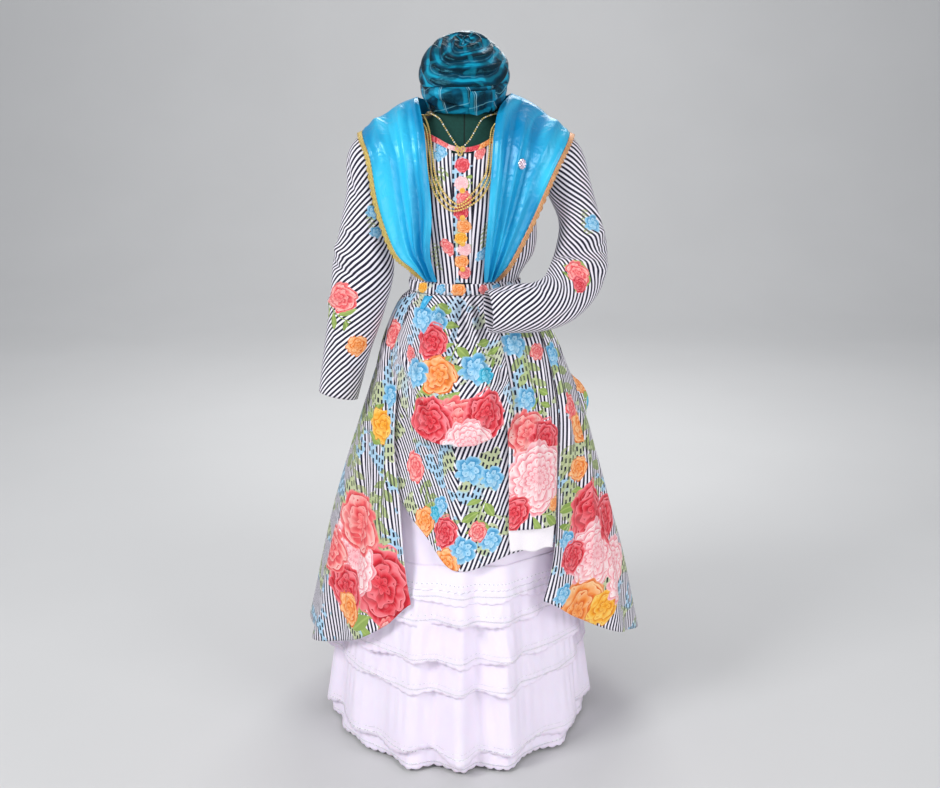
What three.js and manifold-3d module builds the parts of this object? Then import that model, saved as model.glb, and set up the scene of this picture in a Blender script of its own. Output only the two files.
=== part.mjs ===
// Creole dress: striped, flowered gown with picked-up skirt, tiered petticoat, satin foulard with lace,
// wound headwrap and gold chains, worn by a smooth limbless dress form on a pole and a round base.
// Millimetres, +Z up, front towards -Y, origin on the floor under the pole.
import * as THREE from "three";
import { mergeVertices } from "three/addons/utils/BufferGeometryUtils.js";
import Module from "manifold-3d";

const wasm = await Module();
wasm.setup();

// ---------------------------------------------------------------- driving dimensions
const COTTON = 1.5;        // wall of the gown and petticoat cloth
const SATIN = 1.4;         // wall of the foulard
const WRAP = 5;            // folded layers of the headwrap
const SEAM = 0.35;         // room between pieces that touch
const CASING_TOP = 1083;
const CASING_BOTTOM = 1057;
const SKIRT_TOP = 1056.5;
const BODICE_IN = 2.9;     // inside of the bodice, outwards from the form
const CASING_IN = BODICE_IN + COTTON + 0.8;
const ROUND = 40;          // steps round a closed piece

// Dress form, half width at the side and depth to the front and back at each height.
const FORM = [
  // z, side, front, back
  [740, 158, 98, 106],
  [800, 168, 104, 116],
  [880, 168, 100, 116],
  [960, 148, 90, 98],
  [1010, 129, 82, 85],
  [1060, 118, 78, 78],
  [1110, 124, 84, 80],
  [1180, 138, 98, 86],
  [1250, 150, 112, 92],
  [1310, 157, 108, 95],
  [1360, 162, 92, 96],
  [1390, 158, 76, 90],
  [1408, 144, 64, 80],
  [1424, 108, 56, 71],
  [1440, 74, 50, 63],
  [1458, 58, 47, 57],
  [1500, 54, 46, 54],
  [1560, 50, 46, 50],
  [1592, 38, 36, 38],
  [1609, 20, 19, 20],
];
const FORM_TOP = 1616.2;

// Outline of the skirt's outer layer.
const SKIRT = [
  // z, left, right, front, back
  [1056.5, 125, 125, 85, 85],
  [1030, 150, 152, 97, 104],
  [985, 174, 186, 107, 140],
  [940, 192, 212, 128, 168],
  [862, 212, 244, 182, 196],
  [775, 238, 276, 228, 222],
  [687, 265, 303, 245, 244],
  [584, 296, 330, 260, 268],
  [506, 319, 352, 275, 286],
  [400, 346, 382, 296, 305],
  [277, 374, 410, 312, 325],
  [170, 400, 434, 320, 342],
];

// Hem of the skirt by angle from the front, positive towards +X.
const SKIRT_HEM = [
  // angle, z
  [-180, 176],
  [-120, 196],
  [-90, 212],
  [-66, 226],
  [-44, 276],
  [-29, 338],
  [-19, 398],
  [26, 398],
  [40, 338],
  [60, 262],
  [90, 194],
  [120, 184],
  [180, 176],
];

// Petticoat foundation.
const PETTICOAT = [
  // z, left, right, front, back
  [1050, 122.2, 122.2, 81.1, 81.4],
  [1010, 136, 136, 86, 90],
  [960, 162, 162, 97, 112],
  [880, 188, 190, 140, 150],
  [800, 208, 214, 178, 186],
  [700, 232, 238, 206, 208],
  [600, 252, 254, 230, 228],
  [500, 270, 266, 250, 248],
  [440, 282, 274, 262, 258],
];

// Tiers of the petticoat: each is sewn just inside the hem of the one above.
const TIERS = [
  // name, top z, hem z, top left, right, front, back, hem left, right, front, back, ruffles
  ["petticoat_band", 476, 398, 276.5, 270.7, 256.8, 253.8, 299, 284, 289, 272, 0],
  ["petticoat_tier_1", 401, 349, 296.1, 281.1, 286.1, 269.1, 312, 292, 301, 284, 12],
  ["petticoat_tier_2", 352, 260, 305.6, 285.6, 294.6, 277.6, 326, 300, 315, 296, 13],
  ["petticoat_tier_3", 263, 190, 319.6, 293.6, 308.6, 289.6, 336, 304, 324, 306, 13],
  ["petticoat_tier_4", 193, 40, 329.6, 297.6, 317.6, 299.6, 347, 310, 340, 322, 14],
  ["petticoat_tier_5", 43, 7, 340.6, 303.6, 333.6, 315.6, 343, 306, 336, 318, 13],
];
const RUFFLE_DEPTH = 4.5;

// Neck edge of the bodice by angle from the front.
const NECKLINE = [
  // angle, z
  [-180, 1438],
  [-120, 1436],
  [-90, 1431],
  [-60, 1420],
  [-38, 1410],
  [-22, 1398],
  [-10, 1384.5],
  [0, 1380],
  [10, 1384.5],
  [22, 1398],
  [38, 1410],
  [60, 1420],
  [90, 1431],
  [120, 1436],
  [180, 1438],
];

// Armhole, the same on both sides.
const ARMHOLE = { y: 3, z: 1345, high: 62, deep: 50 };

// Sleeves: centre of each section, half width across the bend and half depth.
const SLEEVE_RIGHT = [
  // x, y, z, across, deep
  [-204, 2, 1355, 54, 56],
  [-216, -1, 1275, 50, 54],
  [-226, -8, 1190, 58, 55],
  [-231, -16, 1110, 70, 56],
  [-245, -26, 1030, 64, 54],
  [-270, -36, 930, 54, 48],
  [-295, -44, 815, 46, 42],
];
const SLEEVE_LEFT = [
  // x, y, z, across, deep
  [206, 2, 1355, 54, 56],
  [234, -2, 1290, 50, 54],
  [257, -8, 1225, 46, 52],
  [265, -22, 1162, 57, 52],
  [254, -48, 1102, 64, 49],
  [216, -88, 1056, 60, 45],
  [165, -122, 1040, 56, 41],
  [110, -145, 1040, 54, 38],
  [52, -161, 1036, 47, 36],
];

// Foulard: each row runs from the inner to the outer edge, from the tuck at the waist over the shoulder.
const FOULARD_RIGHT = [
  // inner x, y, z, outer x, y, z, swell
  [-62, -76.5, 1087, -88, -63.3, 1087, 1],
  [-70, -96, 1118, -116, -80, 1116, 6],
  [-76, -108, 1160, -153, -84, 1154, 12],
  [-71, -120, 1242, -187, -84, 1251, 15],
  [-80, -112, 1350, -204, -78, 1354, 13],
  [-86, -88, 1415, -220, -48, 1394, 9],
  [-97, -35, 1464, -227, 0, 1412, 7],
  [-104, 12, 1484, -221, 42, 1402, 0],
];
const FOULARD_LEFT = [
  // inner x, y, z, outer x, y, z, swell
  [44, -82.1, 1087, 66, -74.9, 1087, 1],
  [44, -96, 1112, 84, -84, 1108, 6],
  [45, -106, 1145, 104, -90, 1138, 10],
  [52, -122, 1235, 147, -92, 1225, 14],
  [58, -116, 1330, 190, -82, 1322, 14],
  [64, -92, 1412, 222, -52, 1384, 10],
  [76, -42, 1462, 234, 0, 1408, 7],
  [104, 14, 1492, 228, 42, 1400, 0],
];
const BACK_POINT = [4, 126, 1078];
const BACK_NECK = [2, 105, 1464];
const LACE_WIDTH = 12;

// Headwrap: outline of the wound cloth.
const WRAP_CENTRE = { x: -1, y: 6 };
const WRAP_OUTLINE = [
  // z, radius
  [1449, 70],
  [1462, 80],
  [1480, 89],
  [1505, 95],
  [1532, 97],
  [1556, 92],
  [1578, 80],
  [1597, 60],
  [1612, 34],
];
const WRAP_TOP = 1621;

// Chains: x and z of each point on the front, ending behind the neck.
const CHAIN_SHORT = [
  // x, z
  [-54, 1430],
  [-44, 1417],
  [-28, 1398],
  [-9, 1380],
  [10, 1393],
  [26, 1413],
  [40, 1430],
];
const CHAIN_LONG = [
  // x, z
  [-77, 1412],
  [-69, 1368],
  [-62, 1320],
  [-42, 1278],
  [-12, 1256],
  [18, 1280],
  [46, 1322],
  [54, 1370],
  [60, 1412],
];
const CHAIN_RADIUS = 2.2;
const CHAIN_SPACE = 6.4;   // from one long strand to the next
const CHAIN_STEP = 7;      // how far each longer strand hangs below the next

// ---------------------------------------------------------------- helpers
const DEG = Math.PI / 180;
const mix = (a, b, t) => a + (b - a) * t;
const clamp = (t) => Math.min(1, Math.max(0, t));
const ease = (t) => clamp(t) ** 2 * (3 - 2 * clamp(t));
const bump = (t) => Math.exp(-t * t);

// Smooth value of one column of a table at a value of its first column.
function read(table, at, column) {
  const rows = table[0][0] < table[table.length - 1][0] ? table : [...table].reverse();
  const last = rows.length - 1;
  if (at <= rows[0][0]) return rows[0][column];
  if (at >= rows[last][0]) return rows[last][column];
  let i = 0;
  while (rows[i + 1][0] < at) i += 1;
  const slope = (k) => {
    const low = rows[Math.max(0, k - 1)];
    const high = rows[Math.min(last, k + 1)];
    return (high[column] - low[column]) / (high[0] - low[0]);
  };
  const span = rows[i + 1][0] - rows[i][0];
  const t = (at - rows[i][0]) / span;
  const rise = 3 * t ** 2 - 2 * t ** 3;
  const start = (t ** 3 - 2 * t ** 2 + t) * span * slope(i);
  const finishing = (t ** 3 - t ** 2) * span * slope(i + 1);
  return mix(rows[i][column], rows[i + 1][column], rise) + start + finishing;
}

// Point on an oval ring, angle 0 at the front and positive towards +X.
function oval(angle, z, left, right, front, back) {
  const s = Math.sin(angle * DEG);
  const c = Math.cos(angle * DEG);
  return new THREE.Vector3(s > 0 ? right * s : left * s, c > 0 ? -front * c : -back * c, z);
}

// Point outside the dress form, with room growing upwards on the flat of the shoulders.
function onForm(angle, z, out) {
  const lift = out * ease((z - 1380) / 50);
  const [side, front, back] = [1, 2, 3].map((column) => read(FORM, z, column) + out);
  return oval(angle, z + lift, side, side, front, back);
}

// Depth in front of the form at a given x.
function frontOf(x, z, out) {
  const side = read(FORM, z, 1) + out;
  const front = read(FORM, z, 2) + out;
  const lift = out * ease((z - 1380) / 50);
  return new THREE.Vector3(x, -front * Math.sqrt(Math.max(0.02, 1 - (x / side) ** 2)), z + lift);
}

// Rows of points from a function of row and column shares.
function grid(rowCount, columnCount, point) {
  return Array.from({ length: rowCount + 1 }, (_, r) =>
    Array.from({ length: columnCount + 1 }, (_, c) => point(r / rowCount, c / columnCount)));
}

// Outward direction at a point of the rows.
function outward(rows, r, c, ring) {
  const count = rows[r].length;
  const before = ring ? (c + count - 1) % count : Math.max(0, c - 1);
  const after = ring ? (c + 1) % count : Math.min(count - 1, c + 1);
  const across = rows[r][after].clone().sub(rows[r][before]);
  const down = rows[Math.min(rows.length - 1, r + 1)][c].clone().sub(rows[Math.max(0, r - 1)][c]);
  return down.cross(across).normalize();
}

// Closed wall: the rows are its outer face, and the inner face lies one thickness inside.
function wall(rows, thickness, ring = false) {
  const points = ring ? rows.map((row) => row.slice(0, -1)) : rows;
  const columns = points[0].length;
  const count = points.length * columns;
  const flat = [];
  for (const row of points) for (const p of row) flat.push(p.x, p.y, p.z);
  points.forEach((row, r) => row.forEach((p, c) => {
    const q = p.clone().addScaledVector(outward(points, r, c, ring), -thickness);
    flat.push(q.x, q.y, q.z);
  }));
  const index = [];
  const quad = (a, b, c, d) => index.push(a, b, c, a, c, d);
  const outer = (r, c) => r * columns + (c % columns);
  const inner = (r, c) => count + outer(r, c);
  const lastRow = points.length - 1;
  const steps = ring ? columns : columns - 1;
  for (let c = 0; c < steps; c += 1) {
    for (let r = 0; r < lastRow; r += 1) {
      quad(outer(r, c), outer(r + 1, c), outer(r + 1, c + 1), outer(r, c + 1));
      quad(inner(r, c), inner(r, c + 1), inner(r + 1, c + 1), inner(r + 1, c));
    }
    quad(outer(0, c), outer(0, c + 1), inner(0, c + 1), inner(0, c));
    quad(outer(lastRow, c + 1), outer(lastRow, c), inner(lastRow, c), inner(lastRow, c + 1));
  }
  if (!ring) {
    const end = columns - 1;
    for (let r = 0; r < lastRow; r += 1) {
      quad(outer(r + 1, 0), outer(r, 0), inner(r, 0), inner(r + 1, 0));
      quad(outer(r, end), outer(r + 1, end), inner(r + 1, end), inner(r, end));
    }
  }
  const geometry = new THREE.BufferGeometry();
  geometry.setAttribute("position", new THREE.Float32BufferAttribute(flat, 3));
  geometry.setIndex(index);
  geometry.computeVertexNormals();
  return geometry;
}

// Solid through rings, closed at both ends by a fan to a middle point.
function solidOfRings(rings, top, bottom) {
  const columns = rings[0].length;
  const flat = [];
  for (const ring of rings) for (const p of ring) flat.push(p.x, p.y, p.z);
  flat.push(top.x, top.y, top.z, bottom.x, bottom.y, bottom.z);
  const topIndex = rings.length * columns;
  const index = [];
  for (let c = 0; c < columns; c += 1) {
    const next = (c + 1) % columns;
    for (let r = 0; r < rings.length - 1; r += 1) {
      const [a, b] = [r * columns, (r + 1) * columns];
      index.push(a + c, b + c, b + next, a + c, b + next, a + next);
    }
    const foot = (rings.length - 1) * columns;
    index.push(topIndex, c, next, foot + next, foot + c, topIndex + 1);
  }
  const geometry = new THREE.BufferGeometry();
  geometry.setAttribute("position", new THREE.Float32BufferAttribute(flat, 3));
  geometry.setIndex(index);
  geometry.computeVertexNormals();
  return geometry;
}

function toSolid(geometry) {
  const plain = geometry.clone();
  for (const name of ["normal", "uv"]) if (plain.hasAttribute(name)) plain.deleteAttribute(name);
  const merged = mergeVertices(plain, 1e-3);
  return new wasm.Manifold(new wasm.Mesh({
    numProp: 3,
    vertProperties: new Float32Array(merged.attributes.position.array),
    triVerts: new Uint32Array(merged.index.array),
  }));
}

function fromSolid(solid) {
  const mesh = solid.getMesh();
  const geometry = new THREE.BufferGeometry();
  geometry.setAttribute("position", new THREE.Float32BufferAttribute(Array.from(mesh.vertProperties), 3));
  geometry.setIndex(Array.from(mesh.triVerts));
  geometry.computeVertexNormals();
  return geometry;
}

const dress = new THREE.Group();
const finish = (color, roughness, metalness = 0) =>
  new THREE.MeshStandardMaterial({ color, roughness, metalness });
const STRIPE = finish("#8f8ea6", 0.8);
const PRINT = finish("#d98a86", 0.8);
const WHITE = finish("#f3edf6", 0.85);
const BLUE = finish("#08a2e2", 0.3);
const MADRAS = finish("#0f5f78", 0.45);
const GOLD = finish("#d9b95a", 0.3, 0.9);
const VELVET = finish("#0a3a33", 0.95);
const STEEL = finish("#3a3d40", 0.4, 0.8);

function add(name, geometry, material) {
  const mesh = new THREE.Mesh(geometry, material);
  mesh.name = name;
  dress.add(mesh);
  return mesh;
}

// ---------------------------------------------------------------- dress form, pole and base
function dressForm() {
  const heights = FORM.map((row) => row[0]).reverse();
  const ring = (z) => Array.from({ length: ROUND }, (_, c) => onForm((c * 360) / ROUND, z, 0));
  const foot = FORM[0][0];
  const [top, bottom] = [FORM_TOP, foot].map((z) => new THREE.Vector3(0, 0, z));
  add("form_torso", solidOfRings(heights.map(ring), top, bottom), VELVET);

  const pole = { radius: 16, from: 34, to: foot - SEAM };
  const tube = new THREE.CylinderGeometry(pole.radius, pole.radius, pole.to - pole.from, 24);
  const poleMesh = add("stand_pole", tube, STEEL);
  poleMesh.rotation.x = Math.PI / 2;
  poleMesh.position.z = (pole.to + pole.from) / 2;

  const hub = pole.from - SEAM;
  const outline = [[0, 0], [190, 0], [194, 4], [190, 9], [60, 16], [32, 22], [26, hub], [0, hub]];
  const base = new THREE.LatheGeometry(outline.map(([x, y]) => new THREE.Vector2(x, y)), 40);
  const baseMesh = add("stand_base", base, STEEL);
  baseMesh.rotation.x = Math.PI / 2;
}

// ---------------------------------------------------------------- petticoat
function petticoat() {
  // Yoke in two halves, sewn at the sides.
  const halves = [["petticoat_front", -90], ["petticoat_back", 90]];
  for (const [name, from] of halves) {
    const columns = 20;
    const edge = 0.2;
    const yoke = PETTICOAT.map(([z, ...sizes]) => Array.from({ length: columns + 1 }, (_, c) =>
      oval(from + mix(edge, 180 - edge, c / columns), z, ...sizes)));
    add(name, wall(yoke, COTTON - 0.4), WHITE);
  }

  for (const [name, head, hem, ...sizes] of TIERS) {
    const ruffles = sizes[8];
    const columns = (ruffles || 12) * 4;
    const rows = grid(1, columns, (v, u) => {
      const wave = ruffles ? RUFFLE_DEPTH * v * Math.cos(u * 2 * Math.PI * ruffles) : 0;
      const size = [0, 1, 2, 3].map((k) => mix(sizes[k], sizes[k + 4], v) + wave);
      return oval(u * 360, mix(head, hem, v), ...size);
    });
    add(name, wall(rows, 1, true), WHITE);
  }
}

// ---------------------------------------------------------------- bodice
const BODICE_ROWS = [0, 0.07, 0.14, 0.32, 0.5, 0.667, 0.8, 0.88, 0.93, 0.97, 1];
const bodicePoint = (angle, v, out) =>
  onForm(angle, mix(SKIRT_TOP + 2, read(NECKLINE, angle, 1), v), out);

function bodice() {
  const out = BODICE_IN + COTTON;
  const PLACKET = { left: -9.5, right: 6.5 };       // angles of its two edges
  const side = 92;
  const armholes = [-1, 1].map((hand) => {
    const shape = new THREE.Shape().absellipse(0, 0, ARMHOLE.deep, ARMHOLE.high, 0, Math.PI * 2);
    const prism = new THREE.ExtrudeGeometry(shape, { depth: 120, bevelEnabled: false, curveSegments: 12 });
    prism.applyMatrix4(new THREE.Matrix4().makeBasis(
      new THREE.Vector3(0, 1, 0), new THREE.Vector3(0, 0, 1), new THREE.Vector3(1, 0, 0)));
    prism.translate(hand > 0 ? 100 : -220, ARMHOLE.y, ARMHOLE.z);
    return toSolid(prism);
  });
  const panel = (name, from, to, columns) => {
    const rows = [...BODICE_ROWS].reverse().map((v) => Array.from({ length: columns + 1 }, (_, c) =>
      bodicePoint(mix(from, to, c / columns), v, out)));
    let solid = toSolid(wall(rows, COTTON));
    for (const hole of armholes) solid = solid.subtract(hole);
    add(name, fromSolid(solid), STRIPE);
  };
  const gap = 0.2;
  panel("bodice_front_right", -side + gap, PLACKET.left - gap, 8);
  panel("bodice_front_left", PLACKET.right + gap, side - gap, 8);
  panel("bodice_back", side + gap, 360 - side - gap, 16);

  const placket = grid(10, 2, (v, u) =>
    bodicePoint(mix(PLACKET.left + gap, PLACKET.right - gap, u), mix(0.965, 0.084, v), out + 0.6));
  add("bodice_placket", wall(placket, COTTON + 0.6), PRINT);

  const BINDING = { above: 1, wide: 10 };
  const binding = grid(2, ROUND, (v, u) => {
    const angle = u > 0.5 ? u * 360 - 360 : u * 360;
    const z = read(NECKLINE, angle, 1) + BINDING.above - BINDING.wide * v;
    return onForm(angle, z, out + 1 + COTTON);
  });
  add("neck_binding", wall(binding, COTTON, true), PRINT);

  const casing = grid(2, ROUND, (v, u) =>
    onForm(u * 360, mix(CASING_TOP, CASING_BOTTOM, v), CASING_IN + COTTON + 2.4 * Math.sin(Math.PI * v)));
  add("waist_casing", wall(casing, COTTON, true), STRIPE);

  const BUTTON = { radius: 6, thick: 2.6, heights: [1118, 1176, 1234, 1292] };
  BUTTON.heights.forEach((z, i) => {
    const disc = new THREE.CylinderGeometry(BUTTON.radius, BUTTON.radius, BUTTON.thick, 16);
    const mesh = add(`button_${i + 1}`, disc, PRINT);
    const x = -4;
    const above = frontOf(x, z + 8, out + 0.6);
    const below = frontOf(x, z - 8, out + 0.6);
    const lean = Math.atan2(below.y - above.y, 16);
    mesh.rotation.x = lean;
    const seat = frontOf(x, z, out + 0.6);
    mesh.position.set(x, seat.y - BUTTON.thick / 2 - 0.55, z);
  });
}

// ---------------------------------------------------------------- sleeves
function sleeve(name, table, elbow = 0) {
  const hand = Math.sign(table[0][0]);
  const centres = table.map(([x, y, z]) => new THREE.Vector3(x, y, z));
  const armhole = new THREE.Vector3(hand * 158, ARMHOLE.y, ARMHOLE.z);
  const curve = new THREE.CatmullRomCurve3([armhole, ...centres], false, "centripetal");
  const first = new THREE.Vector3(hand, 0, 0);
  const section = (centre, along, across, deep, u) => {
    const side = new THREE.Vector3(-along.z, 0, along.x).normalize();
    const depth = along.clone().cross(side).normalize();
    const turn = u * 2 * Math.PI;
    return centre.clone().addScaledVector(side, across * Math.cos(turn))
      .addScaledVector(depth, -deep * Math.sin(turn));
  };
  const out = BODICE_IN + COTTON + 0.9;
  const columns = 16;
  const armholeRow = Array.from({ length: columns + 1 }, (_, c) => {
    const middle = new THREE.Vector3(0, ARMHOLE.y, ARMHOLE.z);
    const flat = section(middle, first, ARMHOLE.high, ARMHOLE.deep, c / columns);
    const half = read(FORM, flat.z, 1) + out;
    const depth = read(FORM, flat.z, flat.y < 0 ? 2 : 3) + out;
    const rise = out * ease((flat.z - 1380) / 50);
    const x = half * Math.sqrt(1 - (flat.y / depth) ** 2) + 1.4;
    return new THREE.Vector3(hand * x, flat.y, flat.z + rise);
  });
  const rows = [armholeRow];
  table.forEach(([, , , across, deep], i) => {
    const share = (i + 1) / table.length;
    rows.push(Array.from({ length: columns + 1 }, (_, c) =>
      section(curve.getPoint(share), curve.getTangent(share), across, deep, c / columns)));
  });
  if (!elbow) {
    add(name, wall(rows, COTTON, true), STRIPE);
    return;
  }
  // A bent sleeve is made in two at the elbow, a hair apart, so that each part is a plain tube.
  const trimmed = (row, next) =>
    row.map((p, c) => p.clone().lerp(next[c], 0.4 / p.distanceTo(next[c])));
  const upper = [...rows.slice(0, elbow), trimmed(rows[elbow], rows[elbow - 1])];
  const lower = [trimmed(rows[elbow], rows[elbow + 1]), ...rows.slice(elbow + 1)];
  add(`${name}_upper`, wall(upper, COTTON, true), STRIPE);
  add(`${name}_lower`, wall(lower, COTTON, true), STRIPE);
}

// ---------------------------------------------------------------- skirt
// Flutes of the skirt: they grow from nothing at the waist to their depth at the hem.
const FLUTES = [
  // angle, half width, depth
  [-168, 9, 20],
  [-146, 8, 17],
  [-122, 9, 16],
  [-100, 8, 12],
  [-80, 7, -10],
  [-66, 7, 13],
  [-52, 6, -7],
  [-38, 7, 12],
  [-24, 5, 8],
  [32, 6, 9],
  [46, 6, -9],
  [60, 7, 13],
  [74, 6, -10],
  [88, 7, 9],
  [104, 8, 14],
  [128, 9, 16],
  [150, 8, 18],
];

function skirtPoint(angle, z, out = 0) {
  const grow = ease((1040 - z) / 500);
  const turned = angle > 180 ? angle - 360 : angle;
  let flute = 0;
  for (const [at, width, depth] of FLUTES) flute += depth * bump((turned - at) / width);
  const size = [1, 2, 3, 4].map((column) => read(SKIRT, z, column) + out + flute * grow);
  return oval(angle, z, ...size);
}
const hemOf = (angle) => read(SKIRT_HEM, angle > 180 ? angle - 360 : angle, 1);

// A long panel between two edges whose angles change with height, down to the hem of its own angle.
function skirtPanel(name, fromTable, toTable, rowCount, columns) {
  const rows = grid(rowCount, columns, (v, u) => {
    let z = SKIRT_TOP;
    let angle = 0;
    for (let pass = 0; pass < 8; pass += 1) {
      angle = mix(read(fromTable, z, 1), read(toTable, z, 1), u);
      z = mix(SKIRT_TOP, hemOf(angle), v);
    }
    return skirtPoint(angle, z);
  });
  add(name, wall(rows, COTTON), PRINT);
}

// Inner front edges of the two long panels at each height.
const RIGHT_EDGE = [
  // z, angle
  [1056, -58],
  [880, -47],
  [640, -31],
  [400, -20],
];
const LEFT_EDGE = [
  // z, angle
  [1056, 62],
  [860, 55],
  [600, 40],
  [400, 27],
];
const straight = (angle) => [[1056, angle], [150, angle]];

// Depth of the lower front behind the outer layer.
const behind = (z) => -(2.1 + 9 * ease((SKIRT_TOP - z) / 110));

const FRONT_HEM = [
  // angle, z
  [-36, 640],
  [-28, 606],
  [-16, 540],
  [-7, 480],
  [0, 471],
  [8, 484],
  [18, 505],
  [40, 520],
];
const POUF_HEM = [
  // angle, z
  [-50, 905],
  [-38, 862],
  [-22, 786],
  [-10, 765],
  [3, 764],
  [15, 784],
  [23, 818],
];
const POUF = { left: -50, right: 23, swell: 34, turnUnder: 46 };
const PEONY = { rows: 6, swell: 5 };
const PANEL_ROWS = 8;
const TURNED_HEM = { left: 17, top: 563, foot: 512 };

// Half of the seam's room as an angle.
const seamTurn = (z) => 115 / read(SKIRT, z, 2);

function skirt() {
  const edge = 0.25;
  skirtPanel("skirt_right_panel", straight(-100), RIGHT_EDGE, PANEL_ROWS, 11);
  const besidePeony = LEFT_EDGE.map(([z, angle]) => [z, angle + seamTurn(z)]);
  skirtPanel("skirt_left_panel", besidePeony, straight(100), PANEL_ROWS, 11);
  skirtPanel("skirt_back_left", straight(100 + edge), straight(180 - edge / 2), 7, 9);
  skirtPanel("skirt_back_right", straight(180 + edge / 2), straight(260 - edge), 7, 9);

  const lower = grid(7, 10, (v, u) => {
    const angle = mix(mix(-60, -43, ease((v - 0.3) / 0.5)), mix(64, 40, ease(v * 1.6)), u);
    const z = mix(SKIRT_TOP, read(FRONT_HEM, angle, 1), v);
    return skirtPoint(angle, z, behind(z));
  });
  add("skirt_lower_front", wall(lower, COTTON), PRINT);

  // Front of the skirt picked up into a pouf, its foot turned under.
  const pouf = grid(9, 10, (row, u) => {
    const angle = mix(POUF.left, POUF.right, u);
    const v = Math.min(1, row / 0.78);
    const under = clamp((row - 0.78) / 0.22);
    const foot = read(POUF_HEM, angle, 1);
    const swell = POUF.swell * Math.sin(v * 0.62 * Math.PI) ** 2.2 * Math.sin(Math.PI * mix(0.12, 0.88, u));
    const z = mix(SKIRT_TOP, foot, v) + POUF.turnUnder * under ** 2;
    return skirtPoint(angle, z, 0.6 + swell * (1 - 0.8 * under) + 5 * v * (1 - under));
  });
  add("skirt_pouf", wall(pouf, COTTON), PRINT);

  const besideHem = hemOf(read(LEFT_EDGE, 398, 1) + edge);
  const peonyHem = mix(SKIRT_TOP, besideHem, PEONY.rows / PANEL_ROWS);
  const peony = grid(PEONY.rows, 6, (v, u) => {
    const z = mix(SKIRT_TOP, peonyHem, v);
    const angle = mix(mix(24, 17, v), read(LEFT_EDGE, z, 1) - seamTurn(z), u);
    return skirtPoint(angle, z, PEONY.swell * Math.sin(Math.PI * u) * v);
  });
  add("skirt_peony_panel", wall(peony, COTTON), PRINT);

  const turned = grid(1, 6, (v, u) => {
    const z = mix(TURNED_HEM.top, TURNED_HEM.foot, v);
    return skirtPoint(mix(TURNED_HEM.left, read(LEFT_EDGE, z, 1) - 1, u), z, -2.3);
  });
  add("skirt_turned_hem", wall(turned, COTTON), WHITE);

  // Puff of the picked-up cloth at the side of the back.
  const PUFF = { from: 84, to: 112, top: 846, foot: 758, swell: 20 };
  const puff = grid(6, 8, (v, u) => {
    const swell = PUFF.swell * Math.sin(Math.PI * v) * Math.sin(Math.PI * u);
    return skirtPoint(mix(PUFF.from, PUFF.to, u), mix(PUFF.top, PUFF.foot, v), 2.4 + swell);
  });
  add("skirt_side_puff", wall(puff, COTTON), PRINT);
}

// ---------------------------------------------------------------- foulard
function foulardRow(table, v) {
  const t = v * (table.length - 1);
  const at = table.map((row, i) => [i, ...row]);
  return [1, 2, 3, 4, 5, 6, 7].map((column) => read(at, t, column));
}

function foulardPoint(table, v, u, out = 0) {
  const [ix, iy, iz, ox, oy, oz, swell] = foulardRow(table, v);
  const inner = new THREE.Vector3(ix, iy, iz);
  const across = new THREE.Vector3(ox, oy, oz).sub(inner);
  const later = foulardRow(table, Math.min(1, v + 0.02));
  const earlier = foulardRow(table, Math.max(0, v - 0.02));
  const up = new THREE.Vector3(later[0] - earlier[0], later[1] - earlier[1], later[2] - earlier[2]);
  const face = up.cross(across).multiplyScalar(Math.sign(ox - ix)).normalize().multiplyScalar(-1);
  return inner.addScaledVector(across, u).addScaledVector(face, -swell * Math.sin(Math.PI * u) - out);
}

function foulard() {
  const sides = [["right", FOULARD_RIGHT, 1], ["left", FOULARD_LEFT, -1]];
  const back = {};
  for (const [side, table, hand] of sides) {
    const rows = grid(11, 7, (v, u) => foulardPoint(table, 1 - v, hand > 0 ? 1 - u : u));
    add(`foulard_${side}_front`, wall(rows, SATIN), BLUE);
    const last = table[table.length - 1];
    const [inner, outer] = [last.slice(0, 3), last.slice(3, 6)].map((p) => new THREE.Vector3(...p));
    back[side] = { inner, outer };
  }

  // The back hangs to a point; its columns run from the neck edge to the hem.
  const stepBack = new THREE.Vector3(0, 1.6, -0.3);
  const neck = new THREE.CatmullRomCurve3([
    back.left.inner.clone().add(stepBack), new THREE.Vector3(88, 68, 1484), new THREE.Vector3(...BACK_NECK),
    new THREE.Vector3(-88, 68, 1478), back.right.inner.clone().add(stepBack)]);
  const hem = new THREE.CatmullRomCurve3([
    back.left.outer.clone().add(stepBack), new THREE.Vector3(204, 84, 1345),
    new THREE.Vector3(118, 116, 1205), new THREE.Vector3(...BACK_POINT),
    new THREE.Vector3(-112, 116, 1205), new THREE.Vector3(-200, 84, 1345),
    back.right.outer.clone().add(stepBack)]);
  const backRows = grid(6, 12, (v, u) => {
    const p = neck.getPoint(u).lerp(hem.getPoint(u), v);
    const middle = Math.sin(Math.PI * u);
    return p.add(new THREE.Vector3(0, 13 * Math.sin(Math.PI * v) * middle, 0));
  });
  add("foulard_back", wall(backRows, SATIN), BLUE);

  // Gold lace along the outer edge of each side.
  for (const [side, table, hand] of sides) {
    const rows = grid(11, 1, (v, u) => {
      const share = 1 - v;
      const edge = foulardPoint(table, share, 1);
      const away = edge.clone().sub(foulardPoint(table, share, 0.9)).normalize();
      const wide = mix(SEAM + 0.2, LACE_WIDTH, hand > 0 ? 1 - u : u);
      return edge.addScaledVector(away, wide);
    });
    add(`foulard_lace_${side}`, wall(rows, 1), GOLD);
  }

  // End of the right side that comes out under the casing.
  const end = grid(2, 3, (v, u) => {
    const z = mix(CASING_BOTTOM - 3, 1026, v);
    const angle = mix(-43 + 3 * v, -33 - 2 * v, u);
    return skirtPoint(angle, z, 3.2 + SATIN);
  });
  add("foulard_end", wall(end, SATIN), BLUE);
}

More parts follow.
